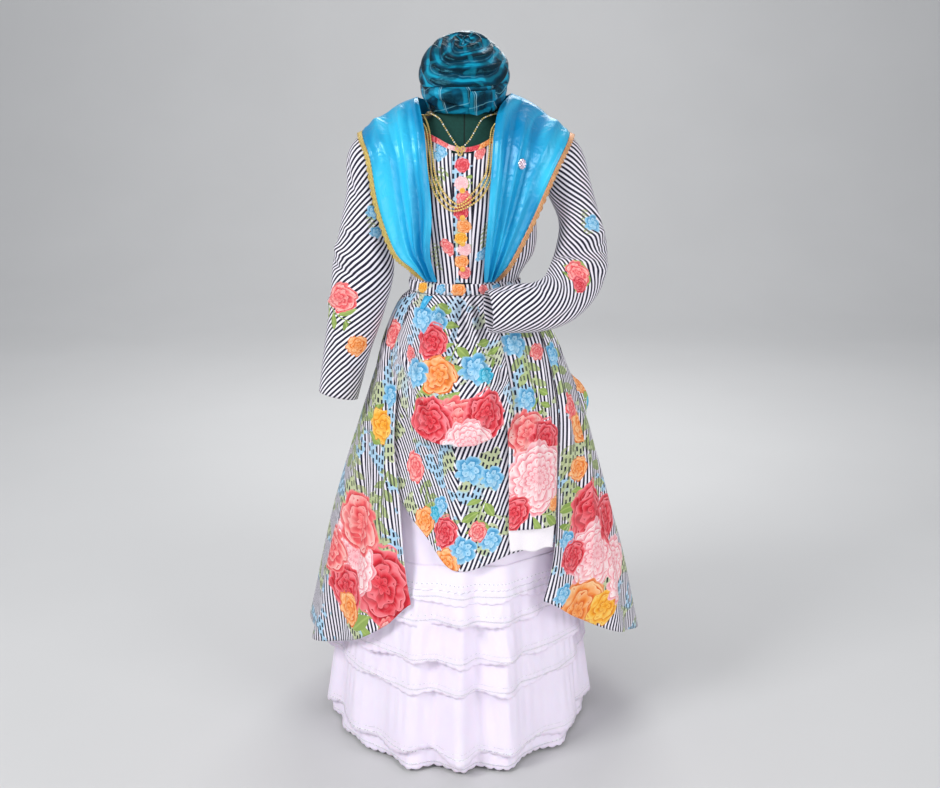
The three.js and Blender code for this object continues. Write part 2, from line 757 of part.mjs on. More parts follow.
// ---------------------------------------------------------------- headwrap
const wrapTilt = (angle, z) =>
  7 * Math.sin((angle - 60) * DEG) * ease((z - 1460) / 40) * ease((1590 - z) / 40);

function wrapPoint(angle, z, out = 0) {
  const radius = read(WRAP_OUTLINE, z, 1) + out;
  const p = oval(angle, z + wrapTilt(angle, z), radius, radius, radius, radius);
  return p.add(new THREE.Vector3(WRAP_CENTRE.x, WRAP_CENTRE.y, 0));
}

function headwrap() {
  const STRETCHES = [
    // name, top z, foot z
    ["headwrap_wrap_upper", 1591, 1556],
    ["headwrap_wrap_middle", 1555.4, 1512],
    ["headwrap_wrap_lower", 1511.4, 1449],
  ];
  for (const [name, top, foot] of STRETCHES) {
    const rows = grid(3, 28, (v, u) => {
      const rise = foot === WRAP_OUTLINE[0][0] ? 5 * (1 - Math.cos(u * 2 * Math.PI)) : 0;
      return wrapPoint(u * 360, mix(top, foot + rise, v), 2 * Math.sin(Math.PI * v));
    });
    add(name, wall(rows, WRAP, true), MADRAS);
  }

  // Crown: the spiral end that closes the top.
  const skirtOfCrown = [read(WRAP_OUTLINE, 1591.4, 1), 1591.4];
  const profile = [[0, WRAP_TOP], [14, WRAP_TOP - 1.4], [32, 1613.6], [50, 1605], skirtOfCrown,
    [skirtOfCrown[0] - 4, skirtOfCrown[1]], [46, 1601.5], [30, 1610], [14, 1615.4], [0, WRAP_TOP - 3]];
  const crown = new THREE.LatheGeometry(profile.reverse().map(([x, y]) => new THREE.Vector2(x, y)), 28);
  const mesh = add("headwrap_crown", crown, MADRAS);
  mesh.rotation.x = Math.PI / 2;
  mesh.position.set(WRAP_CENTRE.x, WRAP_CENTRE.y, 0);

  const tail = grid(4, 5, (v, u) =>
    wrapPoint(mix(8, 44, u), mix(1502, 1446 + 10 * Math.abs(u - 0.4), v), 2 * Math.sin(Math.PI * v) + 3.4));
  add("headwrap_tail", wall(tail, 2), MADRAS);
}

// ---------------------------------------------------------------- chains and brooch
function strand(name, points, radius) {
  const curve = new THREE.CatmullRomCurve3(points, false, "centripetal");
  const circle = new THREE.Shape().absarc(0, 0, radius, 0, Math.PI * 2);
  const geometry = new THREE.ExtrudeGeometry(circle, {
    steps: 34, curveSegments: 3, bevelEnabled: false, extrudePath: curve });
  add(name, geometry, GOLD);
}

function jewellery() {
  const lie = BODICE_IN + 2 * COTTON + 1.65;
  const loop = (table, out, drop) => {
    const front = table.map(([x, z]) => frontOf(x, z, out));
    const round = [70, 90, 115, 140, 160, 177].map((angle) => onForm(angle, 1438 - drop, out));
    const mirrored = round.map((p) => new THREE.Vector3(-p.x, p.y, p.z));
    return [...mirrored.reverse(), ...front, ...round];
  };
  strand("necklace_short", loop(CHAIN_SHORT, lie + CHAIN_RADIUS - 0.3, -3), CHAIN_RADIUS);
  for (let i = 0; i < 3; i += 1) {
    const table = CHAIN_LONG.map(([x, z]) =>
      [x + Math.sign(x) * i * CHAIN_SPACE, z - CHAIN_STEP * (i - 1) * ease((1400 - z) / 120)]);
    strand(`necklace_long_${i + 1}`, loop(table, lie + CHAIN_RADIUS, 4 + i * CHAIN_SPACE), CHAIN_RADIUS);
  }
  const KNOT = { radius: 8, flat: 0.5, drop: 5 };
  const knot = add("necklace_knot", new THREE.IcosahedronGeometry(KNOT.radius, 1), GOLD);
  knot.scale.y = KNOT.flat;
  knot.position.copy(frontOf(-9, CHAIN_SHORT[3][1] - KNOT.drop, lie + 0.7 + KNOT.radius * KNOT.flat));

  const seat = foulardPoint(FOULARD_LEFT, 0.64, 0.46, 0);
  const beside = foulardPoint(FOULARD_LEFT, 0.64, 0.56, 0);
  const above = foulardPoint(FOULARD_LEFT, 0.70, 0.46, 0);
  const face = beside.sub(seat).cross(above.sub(seat)).normalize();
  const brooch = add("brooch", new THREE.CylinderGeometry(9, 9, 5, 16), STEEL);
  brooch.quaternion.setFromUnitVectors(new THREE.Vector3(0, 1, 0), face);
  brooch.position.copy(seat).addScaledVector(face, 2.5 + 0.6);
}

dressForm();
petticoat();
bodice();
sleeve("sleeve_right", SLEEVE_RIGHT);
sleeve("sleeve_left", SLEEVE_LEFT, 4);
skirt();
foulard();
headwrap();
jewellery();

export default dress;
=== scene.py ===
# Creole dress on a limbless dress form: striped and flowered cotton gown with its skirt picked up in front,
# white eyelet petticoat in tiers, blue satin foulard edged with gold lace, madras headwrap and gold chains.
# Tables are in millimetres of the real pieces, and every mesh is in metres.
import math

import bpy
import numpy as np
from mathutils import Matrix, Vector


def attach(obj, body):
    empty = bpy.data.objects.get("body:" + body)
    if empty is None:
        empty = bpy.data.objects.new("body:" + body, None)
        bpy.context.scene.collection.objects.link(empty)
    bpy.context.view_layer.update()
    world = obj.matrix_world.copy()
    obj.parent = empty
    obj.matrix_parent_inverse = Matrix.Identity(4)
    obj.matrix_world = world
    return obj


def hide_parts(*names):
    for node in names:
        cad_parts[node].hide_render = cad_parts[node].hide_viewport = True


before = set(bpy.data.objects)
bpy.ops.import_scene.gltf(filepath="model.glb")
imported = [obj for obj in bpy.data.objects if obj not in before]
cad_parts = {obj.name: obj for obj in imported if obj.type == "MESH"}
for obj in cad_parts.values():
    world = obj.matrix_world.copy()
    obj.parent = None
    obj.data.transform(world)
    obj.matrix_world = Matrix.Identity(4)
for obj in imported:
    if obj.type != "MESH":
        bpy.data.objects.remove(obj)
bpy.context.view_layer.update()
bpy.ops.object.select_all(action="DESELECT")

# ---- Camera: a standard lens a little above the headwrap, 2.4 m in front of the dress and tilted down, so
# that the whole costume fills the height of the frame.
camera_data = bpy.data.cameras.new("camera")
camera_data.lens = 41.05
camera_data.sensor_width = 36
camera = bpy.data.objects.new("camera", camera_data)
bpy.context.collection.objects.link(camera)
camera.location = (0.0122, -2.445, 1.524)
camera.rotation_euler = (math.radians(73.566), 0, 0)
bpy.context.scene.camera = camera
bpy.context.scene.view_settings.view_transform = "Standard"

# ---- Studio: a pale painted floor that curves up into a wall far behind the dress, and large soft lights.
# In front one is on each side and a low one between them. Two behind light the dress's edges and the wall.
FLOOR, WALL, CURVE = 14, 7, 3    # side of the floor, height of the wall and width of the curve, in metres
bpy.ops.mesh.primitive_plane_add(size=FLOOR)
floor = bpy.context.object
floor.name = "floor"
bpy.ops.object.mode_set(mode="EDIT")
bpy.ops.mesh.select_all(action="DESELECT")
bpy.ops.object.mode_set(mode="OBJECT")
for edge in floor.data.edges:
    edge.select = all(floor.data.vertices[v].co.y > FLOOR / 2 - 1 for v in edge.vertices)
bpy.ops.object.mode_set(mode="EDIT")
bpy.ops.mesh.select_mode(type="EDGE")
bpy.ops.mesh.extrude_region_move(TRANSFORM_OT_translate={"value": (0, 0, WALL)})
bpy.ops.object.mode_set(mode="OBJECT")


def shaped(piece, kind, **settings):
    """Shape a piece with a modifier of one kind, applied with its settings."""
    bpy.context.view_layer.objects.active = piece
    modifier = piece.modifiers.new(kind, kind)
    for name, value in settings.items():
        setattr(modifier, name, value)
    bpy.ops.object.modifier_apply(modifier=modifier.name)


shaped(floor, "BEVEL", width=CURVE, segments=24)
bpy.ops.object.shade_smooth()


def linear(code):
    """Linear colour of an sRGB hex value."""
    parts = [int(code[i:i + 2], 16) / 255 for i in (1, 3, 5)]
    return [p / 12.92 if p <= 0.04045 else ((p + 0.055) / 1.055) ** 2.4 for p in parts] + [1.0]


def node(tree, kind, inputs=(), **settings):
    """Add a node with its settings; inputs are values, sockets or nodes, in order or by name."""
    made = tree.nodes.new("ShaderNode" + kind)
    for name, value in settings.items():
        setattr(made, name, value)
    for key, value in inputs.items() if isinstance(inputs, dict) else enumerate(inputs):
        if isinstance(value, bpy.types.Node):
            value = value.outputs[0]
        if isinstance(value, bpy.types.NodeSocket):
            tree.links.new(value, made.inputs[key])
        elif value is not None:
            made.inputs[key].default_value = value
    return made


def material(name, values):
    """New material with its shader's own values, its tree and its shader."""
    made = bpy.data.materials.new(name)
    made.use_nodes = True
    shader = made.node_tree.nodes["Principled BSDF"]
    for key, value in values.items():
        shader.inputs[key].default_value = value
    return made, made.node_tree, shader


def surfaced(tree, shader, shade, height=None, strength=0.5, depth=0.8):
    """Give a material its colour and, where it has one, its relief of a depth in millimetres."""
    tree.links.new(shade.outputs[0], shader.inputs["Base Color"])
    if height is not None:
        relief = node(tree, "Bump", {"Strength": strength, "Distance": depth / 1000, "Height": height})
        tree.links.new(relief.outputs[0], shader.inputs["Normal"])


def mottled(name, values, scale, dark, pale, detail=2, distortion=0.0, relief=()):
    """Material whose tone wanders between two colours, with the same grain as its relief."""
    made, tree, shader = material(name, values)
    place = node(tree, "TexCoord").outputs["Object"]
    cloud = node(tree, "TexNoise", {"Vector": place, "Scale": scale, "Detail": detail,
                                    "Distortion": distortion})
    tone = node(tree, "MixRGB", [cloud, linear(dark), linear(pale)])
    surfaced(tree, shader, tone, cloud if relief else None, *relief)
    return made


# Floor paint: matt, pale and very slightly uneven, as it is rolled on.
paint = mottled("matt floor paint", {"Roughness": 0.9, "Specular IOR Level": 0.2}, 1.5, "#CFCFCF", "#D5D5D5")
floor.data.materials.append(paint)

world = bpy.data.worlds.new("studio")
bpy.context.scene.world = world
world.use_nodes = True
sky = world.node_tree.nodes["Background"]
sky.inputs["Color"].default_value = linear("#E9ECF2")
sky.inputs["Strength"].default_value = 0.5
LIGHTS = [
    # name, place, aim, side in metres, watts
    ("key", (-2.6, -1.9, 2.9), (0, 0, 0.8), 1.2, 76),
    ("fill", (2.5, -2.2, 2.1), (0, 0, 0.8), 1.6, 38),
    ("low", (0.4, -3.2, 0.7), (0, 0, 0.25), 1.2, 18),
    ("back", (0.4, 2.2, 2.8), (0, 0, 1.0), 1.6, 34),
    ("wall", (0, 2.4, 4.2), (0, 7, 1.2), 3.5, 95),
]
for name, at, aim, size, power in LIGHTS:
    lamp = bpy.data.lights.new(name, "AREA")
    lamp.size = size
    lamp.energy = power
    light = bpy.data.objects.new(name, lamp)
    bpy.context.collection.objects.link(light)
    light.location = at
    away = np.array(at) - np.array(aim)
    light.rotation_euler = (math.atan2(math.hypot(away[0], away[1]), away[2]), 0,
                            math.atan2(away[0], -away[1]))

# ---- Dress form: a moulded torso with a neck cap and no arms, covered in dark green cotton velvet. The
# cover is sewn down the middle, and only its neck shows, between the headwrap and the gown.
MM = 0.001
velvet, tree, shader = material("cotton velvet, dark green", {"Roughness": 0.95, "Sheen Weight": 0.35,
                                                              "Sheen Roughness": 0.4})
shader.inputs["Sheen Tint"].default_value = linear("#4F8F80")
place = node(tree, "TexCoord").outputs["Object"]
NAP_MM = 4
SEAM_MM = (0.4, 2.2)       # half widths of the sewn line and of the dip beside it
nap = node(tree, "TexNoise", {"Vector": place, "Scale": 1000 / NAP_MM, "Detail": 3})
pile = node(tree, "MixRGB", [nap, linear("#06302B"), linear("#0F4A41")])
aside = node(tree, "Math", [node(tree, "SeparateXYZ", [place])], operation="ABSOLUTE")
# The seam is a dark sewn line, and the darkening that fades out over the dip beside it is painted shade.
seam = node(tree, "MapRange", {"Value": aside, "From Min": SEAM_MM[0] * MM, "From Max": SEAM_MM[1] * MM})
shade = node(tree, "MixRGB", [seam, linear("#021512"), pile])
raised = node(tree, "Math", [nap, node(tree, "Math", [seam, 2.0], operation="MULTIPLY")], operation="ADD")
surfaced(tree, shader, shade, raised, 0.35, 1)

# The torso is the CAD one, its loose triangles merged and rounded.
form = bpy.data.objects.new("form_torso_finished", bpy.data.objects["form_torso"].data.copy())
form.data.materials.clear()
form.data.materials.append(velvet)
bpy.context.collection.objects.link(form)
bpy.context.view_layer.objects.active = form
form.select_set(True)
bpy.ops.object.mode_set(mode="EDIT")
bpy.ops.mesh.select_all(action="SELECT")
bpy.ops.mesh.remove_doubles(threshold=0.02 * MM)
bpy.ops.mesh.tris_convert_to_quads()
bpy.ops.object.mode_set(mode="OBJECT")
shaped(form, "SUBSURF", levels=2, render_levels=2)
bpy.ops.object.shade_smooth()
form.select_set(False)
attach(form, "root")
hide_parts("form_torso")

# ---- Pole and base: a steel tube in a turned steel foot, brushed along and lacquered. They carry the form,
# and the petticoat hides them.
steel, tree, shader = material("brushed steel", {"Metallic": 1.0, "Roughness": 0.38})
place = node(tree, "TexCoord").outputs["Object"]
BRUSH_MM = 1.5
lines = node(tree, "Mapping", {"Vector": place, "Scale": (1, 1, 0.05)})
brushed = node(tree, "TexNoise", {"Vector": lines, "Scale": 1000 / BRUSH_MM, "Detail": 2})
sheen = node(tree, "MixRGB", [brushed, linear("#55595D"), linear("#85898D")])
surfaced(tree, shader, sheen, brushed, 0.1, 0.4)
for name in ("stand_pole", "stand_base"):
    stand = bpy.data.objects[name]
    for slot in stand.material_slots:
        slot.material = steel

# ---- Petticoat: a plain lawn yoke, an embroidered band and five gathered tiers with scalloped eyelet hems,
# each tier sewn just inside the hem of the one above.
PETTICOAT = [
    # z, left, right, front, back
    (1050, 122.2, 122.2, 81.1, 81.4),
    (1010, 136, 136, 86, 90),
    (960, 162, 162, 97, 112),
    (880, 188, 190, 140, 150),
    (800, 208, 214, 178, 186),
    (700, 232, 238, 206, 208),
    (600, 252, 254, 230, 228),
    (500, 270, 266, 250, 248),
    (440, 282, 274, 262, 258),
]
TIERS = [
    # name, head z, hem z, head left, right, front, back, hem left, right, front, back, ruffles
    ("petticoat_band", 476, 398, 276.5, 270.7, 256.8, 253.8, 299, 284, 289, 272, 0),
    ("petticoat_tier_1", 401, 349, 296.1, 281.1, 286.1, 269.1, 312, 292, 301, 284, 12),
    ("petticoat_tier_2", 352, 260, 305.6, 285.6, 294.6, 277.6, 326, 300, 315, 296, 13),
    ("petticoat_tier_3", 263, 190, 319.6, 293.6, 308.6, 289.6, 336, 304, 324, 306, 13),
    ("petticoat_tier_4", 193, 40, 329.6, 297.6, 317.6, 299.6, 347, 310, 340, 322, 14),
    ("petticoat_tier_5", 43, 7, 340.6, 303.6, 333.6, 315.6, 343, 306, 336, 318, 13),
]
LAWN, YOKE = 0.9, 1        # walls of the tiers and of the yoke
TUCK = 22                  # how far each tier reaches up behind the one above
PINCH = 15                 # how far the sides hang in below the knee
SCALLOP = {"pitch": 21, "rise": 5.5}


def read(table, at, column):
    """Smooth values of one column of a table at values of its first column."""
    rows = np.array(sorted((row[0], row[column]) for row in table), float)
    x, y = rows[:, 0], rows[:, 1]
    at = np.clip(np.asarray(at, float), x[0], x[-1])
    i = np.clip(np.searchsorted(x, at, side="right") - 1, 0, len(x) - 2)
    slope = np.empty(len(x))
    slope[1:-1] = (y[2:] - y[:-2]) / (x[2:] - x[:-2])
    slope[[0, -1]] = (y[1] - y[0]) / (x[1] - x[0]), (y[-1] - y[-2]) / (x[-1] - x[-2])
    span = x[i + 1] - x[i]
    t = (at - x[i]) / span
    rise = 3 * t**2 - 2 * t**3
    start = (t**3 - 2 * t**2 + t) * span * slope[i]
    end = (t**3 - t**2) * span * slope[i + 1]
    return y[i] + (y[i + 1] - y[i]) * rise + start + end


def oval(angle, z, left, right, front, back):
    """Points on an oval ring; the angle is 0 in front and grows towards +X."""
    s, c = np.sin(np.radians(angle)), np.cos(np.radians(angle))
    x = np.where(s > 0, right, left) * s
    y = -np.where(c > 0, front, back) * c
    return np.stack(np.broadcast_arrays(x, y, z), -1) * MM


def ease(t):
    t = np.clip(t, 0, 1)
    return t**2 * (3 - 2 * t)


def mix(a, b, t):
    return a + (b - a) * t


def shares(rows, columns):
    """Shares down and across a sheet, from 0 to 1."""
    return np.meshgrid(np.linspace(0, 1, rows + 1), np.linspace(0, 1, columns + 1), indexing="ij")


def measured(points, middle):
    """Cloth coordinates in metres: across from the middle column and down from the first row."""
    steps = np.linalg.norm(np.diff(points, axis=1), axis=2)
    across = np.pad(np.cumsum(steps, 1), ((0, 0), (1, 0)))
    falls = np.linalg.norm(np.diff(points, axis=0), axis=2)
    down = np.pad(np.cumsum(falls, 0), ((1, 0), (0, 0)))
    return np.stack([across - across[:, [middle]], down], -1)


def pushed(points, amount, ring=False):
    """The same sheet, pushed outwards by an amount in millimetres at each point."""
    if ring:
        wrapped = np.concatenate([points[:, -2:-1], points, points[:, 1:2]], 1)
        across = wrapped[:, 2:] - wrapped[:, :-2]
    else:
        across = np.gradient(points, axis=1)
    normal = np.cross(np.gradient(points, axis=0), across)
    normal /= np.linalg.norm(normal, axis=2, keepdims=True) + 1e-12
    return points + normal * np.asarray(amount)[..., None] * MM


def creased(points, table, middle=0, ring=False, lie=None):
    """Sheet with creases: each row is across, down, across, down of its ends, half width and height."""
    lie = (measured(points, middle) if lie is None else lie) / MM
    amount = np.zeros(points.shape[:2])
    for x0, y0, x1, y1, width, height in table:
        run = np.array([x1 - x0, y1 - y0], float)
        t = ((lie - (x0, y0)) @ run) / (run @ run)
        away = np.linalg.norm(lie - (x0, y0) - np.clip(t, 0, 1)[..., None] * run, axis=2)
        amount += height * np.exp(-((away / width) ** 2)) * ease(np.minimum(t, 1 - t) / 0.3 + 0.35)
    return pushed(points, amount, ring)


def new_piece(name, points, faces, finishes):
    """Piece through points in metres, with its faces and materials."""
    mesh = bpy.data.meshes.new(name)
    mesh.from_pydata(points.reshape(-1, 3).tolist(), [], faces.tolist())
    for finish in finishes:
        mesh.materials.append(finish)
    piece = bpy.data.objects.new(name, mesh)
    bpy.context.collection.objects.link(piece)
    return piece


def cloth(name, points, finishes, wall, middle=0, ring=False, lie=None):
    """Sheet of cloth through rows of points, with its cloth coordinates, given its wall inwards."""
    lie = measured(points, middle) if lie is None else lie
    if ring:
        points = points[:, :-1]
    rows, columns = points.shape[:2]
    r, c = np.mgrid[0:rows - 1, 0:columns if ring else columns - 1]
    n = (c + 1) % columns
    faces = np.stack([r * columns + c, (r + 1) * columns + c, (r + 1) * columns + n, r * columns + n], -1)
    piece = new_piece(name, points, faces.reshape(-1, 4), finishes)
    corners = np.stack([lie[r, c], lie[r + 1, c], lie[r + 1, c + 1], lie[r, c + 1]], 2)
    piece.data.uv_layers.new(name="cloth").data.foreach_set("uv", corners.reshape(-1))
    piece.select_set(True)
    inside = len(finishes) - 1
    shaped(piece, "SOLIDIFY", thickness=wall * MM, offset=-1, material_offset=inside,
           material_offset_rim=inside)
    bpy.ops.object.shade_smooth()
    piece.select_set(False)
    return piece


def sewn(piece, replaced):
    """The piece stands for its CAD nodes, which it hides, and rides on the one body."""
    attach(piece, "root")
    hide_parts(*replaced.split())


# White cotton lawn: crisp, a little see-through at its folds, with embroidered eyelets above each hem.
def lawn(name, eyelets, length):
    """White lawn whose rows of eyelets lie above a hem at the given length down the cloth."""
    made, tree, shader = material(name, {"Roughness": 0.85, "Sheen Weight": 0.15, "Subsurface Weight": 0.08,
                                         "Subsurface Scale": 0.004})
    lie = node(tree, "UVMap", uv_map="cloth")
    place = node(tree, "TexCoord").outputs["Object"]
    axes = node(tree, "SeparateXYZ", [lie])
    slub = node(tree, "TexNoise", {"Vector": place, "Scale": 9, "Detail": 3})
    shade = node(tree, "MixRGB", [slub, linear("#F2E3F8"), linear("#FAF0FE")])
    WEAVE_MM = 2.2         # drawn four times as coarse as real lawn, so that it shows
    weave = node(tree, "TexNoise", {"Vector": lie, "Scale": 1000 / WEAVE_MM, "Detail": 2})
    height = node(tree, "Math", [weave, 0.3], operation="MULTIPLY")
    for above, pitch, radius in eyelets:
        # Each eyelet row: distance from the nearest hole's middle, in millimetres.
        along = node(tree, "Math", [axes.outputs[0], pitch * MM], operation="PINGPONG")
        x = node(tree, "Math", [along, 1 / MM], operation="MULTIPLY")
        y = node(tree, "Math", [axes.outputs[1], length - above * MM], operation="SUBTRACT")
        y = node(tree, "Math", [y, 1 / MM], operation="MULTIPLY")
        spot = node(tree, "CombineXYZ", [x, y])
        far = node(tree, "VectorMath", [spot], operation="LENGTH").outputs["Value"]
        hole = node(tree, "MapRange", {"Value": far, "From Min": radius * 0.8, "From Max": radius * 1.05})
        rim = node(tree, "MapRange", {"Value": far, "From Min": radius * 1.2, "From Max": radius * 2.2,
                                      "To Min": 1.0, "To Max": 0.0})
        # Each hole is painted lavender grey, as painted shade inside it, and the stitching round it white.
        shade = node(tree, "MixRGB", [hole, linear("#BBA6C6"), shade])
        thread = node(tree, "Math", [rim, hole], operation="MULTIPLY")
        shade = node(tree, "MixRGB", [thread, shade, linear("#FFFFFF")])
        height = node(tree, "Math", [height, thread], operation="ADD")
    surfaced(tree, shader, shade, height, 0.55)
    return made


def petticoat_folds(angle, z):
    """Folds that run down through all the tiers, deeper towards the floor."""
    a = np.radians(angle)
    fold = np.cos(13 * a + 1.5 * np.sin(2 * a + 0.6) + 0.9 * np.sin(5 * a)) * (11 + 4 * np.sin(3 * a + 1))
    pinched = PINCH * np.sin(a) ** 2 * ease((520 - z) / 300)
    return (fold + 2 * np.cos(31 * a + 2 * np.sin(4 * a)) + 3) * ease((660 - z) / 420) - pinched


plain_lawn = lawn("white cotton lawn", [], 1)
heights = np.linspace(PETTICOAT[0][0], PETTICOAT[-1][0], 27)[:, None]
turn = np.linspace(-180, 180, 97)[None, :]
yoke_rows = oval(turn, heights, *[read(PETTICOAT, heights, k) + petticoat_folds(turn, heights)
                                  for k in (1, 2, 3, 4)])
yoke = cloth("petticoat_yoke_lawn", yoke_rows, [plain_lawn], YOKE, ring=True)
sewn(yoke, "petticoat_front petticoat_back")

above = yoke
for number, (name, head, hem, *sizes, ruffles) in enumerate(TIERS):
    v, u = shares(10 if head - hem < 60 else 18, 500)
    tuck = TUCK / (head - hem) if ruffles else 0
    v = mix(-tuck, 1, v)
    hung = np.maximum(v, 0)
    # Ruffles are uneven in spacing and depth, and small gathers start under each seam.
    drift = u * 2 * math.pi
    wave = np.cos(drift * ruffles + 0.9 * np.sin(drift * 3 + number) + 0.5 * np.sin(drift * 5)) + 0.55
    depth = 7.0 + 3.0 * np.sin(drift * 4 + 2 * number) + 2.0 * np.sin(drift * 7 + number)
    gathers = (2.5 * np.cos(drift * (ruffles * 5 + 1) + 2.6 * np.sin(drift * 9))
               * np.sin(math.pi * hung) ** 1.5)
    fold = hung * depth * wave + gathers * (1 - hung) if ruffles else hung * (1.2 + np.cos(drift * 17))
    fold = fold + petticoat_folds(u * 360 - 180, mix(head, hem, hung)) + 8 * np.minimum(v, 0) / (tuck or 1)
    rim = [mix(sizes[k], sizes[k + 4], hung) + fold for k in range(4)]
    lobes = round(2 * math.pi * sizes[4] / SCALLOP["pitch"])
    notch = SCALLOP["rise"] * (1 - np.abs(np.sin(math.pi * u * lobes))) ** 1.5 * ease((v - 0.5) * 2)
    sway = (5 * np.cos(drift * 9 + 3 * number) + 4 * np.cos(drift * 14 + number)) * ease(v) * (hem > 20)
    rows = oval(u * 360 - 180, mix(head, hem, v) + notch + sway, *rim)
    fall = measured(rows, 0)[-1, :, 1].mean()
    eyelets = [(9, 5.2, 1.7), (20, 8, 1.3)] if ruffles else [(10, 5.2, 1.7), (24, 9, 2.2), (38, 5.2, 1.4)]
    eyelet_lawn = lawn(f"eyelet lawn {number}", eyelets[:1] if fall < 0.07 else eyelets, fall)
    tier = cloth(name + "_lawn", rows, [eyelet_lawn, plain_lawn], LAWN, ring=True)
    sewn(tier, name)
    above = tier

# ---- Gown cloth: plain-woven cotton, printed with navy stripes, leaf sprays, roses and small blue flowers.
# The wrong side stays white, as on any cloth that is printed on one face.
STRIPE_PITCH = 9.6
FLOWERS = {
    # name: petals in a ring, rings, colours in the depth, on the petal and at its rim
    "red": (5, 4.0, "#A60F1E", "#E0283A", "#F8929A"),
    "coral": (6, 3.6, "#D22E3E", "#F4696C", "#FCC9C2"),
    "peony": (13, 5.6, "#E8707F", "#FABCC3", "#FFF0EE"),
    "orange": (5, 3.4, "#DC5A1C", "#F9923A", "#FDD3A0"),
    "yellow": (5, 3.2, "#DE7414", "#F8A820", "#FCD672"),
    "blue": (5, 1.7, "#2388BE", "#79BEE4", "#C4E4F4"),
    "teal": (5, 1.7, "#0E8DB4", "#2FB4D8", "#9ADCEC"),
}
LEAVES = {
    # name: leaves on the spray, dark and pale greens
    "leaf": (2.0, "#5E7F2F", "#A8BE6A"),
    "spray": (5.0, "#7D9648", "#BCCB90"),
    "olive": (6.0, "#8C9A5C", "#C6CFA2"),
}


def print_group(name, inputs):
    """Node group for one printed motif, laid over the print below it."""
    tree = bpy.data.node_groups.new(name, "ShaderNodeTree")
    for label, kind in inputs.items():
        tree.interface.new_socket(label, in_out="INPUT", socket_type="NodeSocket" + kind)
    tree.interface.new_socket("Colour", in_out="OUTPUT", socket_type="NodeSocketColor")
    return tree, tree.nodes.new("NodeGroupInput").outputs


PLACED = {"Below": "Color", "Cloth": "Vector", "Place": "Vector", "Turn": "Vector", "Size": "Vector"}
flower_print, given = print_group("flower print", PLACED | {
    "Petals": "Float", "Rings": "Float", "Deep": "Color", "Middle": "Color", "Pale": "Color"})
tree = flower_print
lie = node(tree, "Mapping", [given["Cloth"], given["Place"], given["Turn"], given["Size"]],
           vector_type="TEXTURE")
# Distance from the heart and angle round it, both a little wavy, as a painted flower is.
wave = node(tree, "TexNoise", {"Vector": lie, "Scale": 2.4, "Detail": 1}, noise_dimensions="2D").outputs[0]
far = node(tree, "VectorMath", [lie], operation="LENGTH").outputs["Value"]
reach = node(tree, "Math", [wave, 0.34, far], operation="MULTIPLY_ADD")
reach = node(tree, "Math", [reach, 0.17], operation="SUBTRACT")
axes = node(tree, "SeparateXYZ", [lie])
turn = node(tree, "Math", [axes.outputs[1], axes.outputs[0]], operation="ARCTAN2")
ring = node(tree, "Math", [reach, given["Rings"]], operation="MULTIPLY")
whole = node(tree, "Math", [node(tree, "Math", [ring, 0.3], operation="ADD")], operation="FLOOR")
each = node(tree, "Math", [given["Petals"], 2 * math.pi], operation="DIVIDE")
lobes = node(tree, "Math", [turn, each], operation="MULTIPLY")
lobes = node(tree, "Math", [whole, 0.5, lobes], operation="MULTIPLY_ADD")
lobes = node(tree, "Math", [wave, 0.9, lobes], operation="MULTIPLY_ADD")
side = node(tree, "Math", [lobes, 0.5], operation="PINGPONG")
side = node(tree, "Math", [side, 2.0], operation="MULTIPLY")
side = node(tree, "Math", [side, 2.0], operation="POWER")
petal = node(tree, "Math", [side, 0.5, ring], operation="MULTIPLY_ADD")
rim = node(tree, "Math", [petal], operation="FRACT")
share = node(tree, "Math", [petal, given["Rings"]], operation="DIVIDE")
body = node(tree, "MapRange", {"Value": rim, "From Min": -0.1, "From Max": 0.55},
            interpolation_type="SMOOTHSTEP")
edge = node(tree, "MapRange", {"Value": rim, "From Min": 0.35, "From Max": 1.0})
outer = node(tree, "MapRange", {"Value": share, "From Min": 0.1, "From Max": 0.75, "To Min": 0.15})
edge = node(tree, "Math", [edge, outer], operation="MULTIPLY")
colour = node(tree, "MixRGB", [body, given["Deep"], given["Middle"]])
colour = node(tree, "MixRGB", [edge, colour, given["Pale"]])
# Brush strokes run out from the heart along each petal, and one side of the flower is paler.
stroke = node(tree, "CombineXYZ", [node(tree, "Math", [lobes, 5.0], operation="MULTIPLY"), reach, whole])
stroke = node(tree, "TexNoise", {"Vector": stroke, "Scale": 1.6, "Detail": 2})
stroke = node(tree, "MapRange", {"Value": stroke, "From Min": 0.5, "From Max": 0.8, "To Max": 0.5})
colour = node(tree, "MixRGB", [stroke, colour, given["Pale"]])
glow = node(tree, "TexNoise", {"Vector": lie, "Scale": 0.9, "Detail": 1}, noise_dimensions="2D")
glow = node(tree, "MapRange", {"Value": glow, "From Min": 0.55, "From Max": 0.85, "To Max": 0.4})
colour = node(tree, "MixRGB", [glow, colour, given["Pale"]])
inside = node(tree, "Math", [given["Rings"], petal], operation="SUBTRACT")
inside = node(tree, "MapRange", {"Value": inside, "From Min": 0.0, "From Max": 0.14})
over = node(tree, "MixRGB", [inside, given["Below"], colour])
tree.links.new(over.outputs[0], tree.nodes.new("NodeGroupOutput").inputs[0])

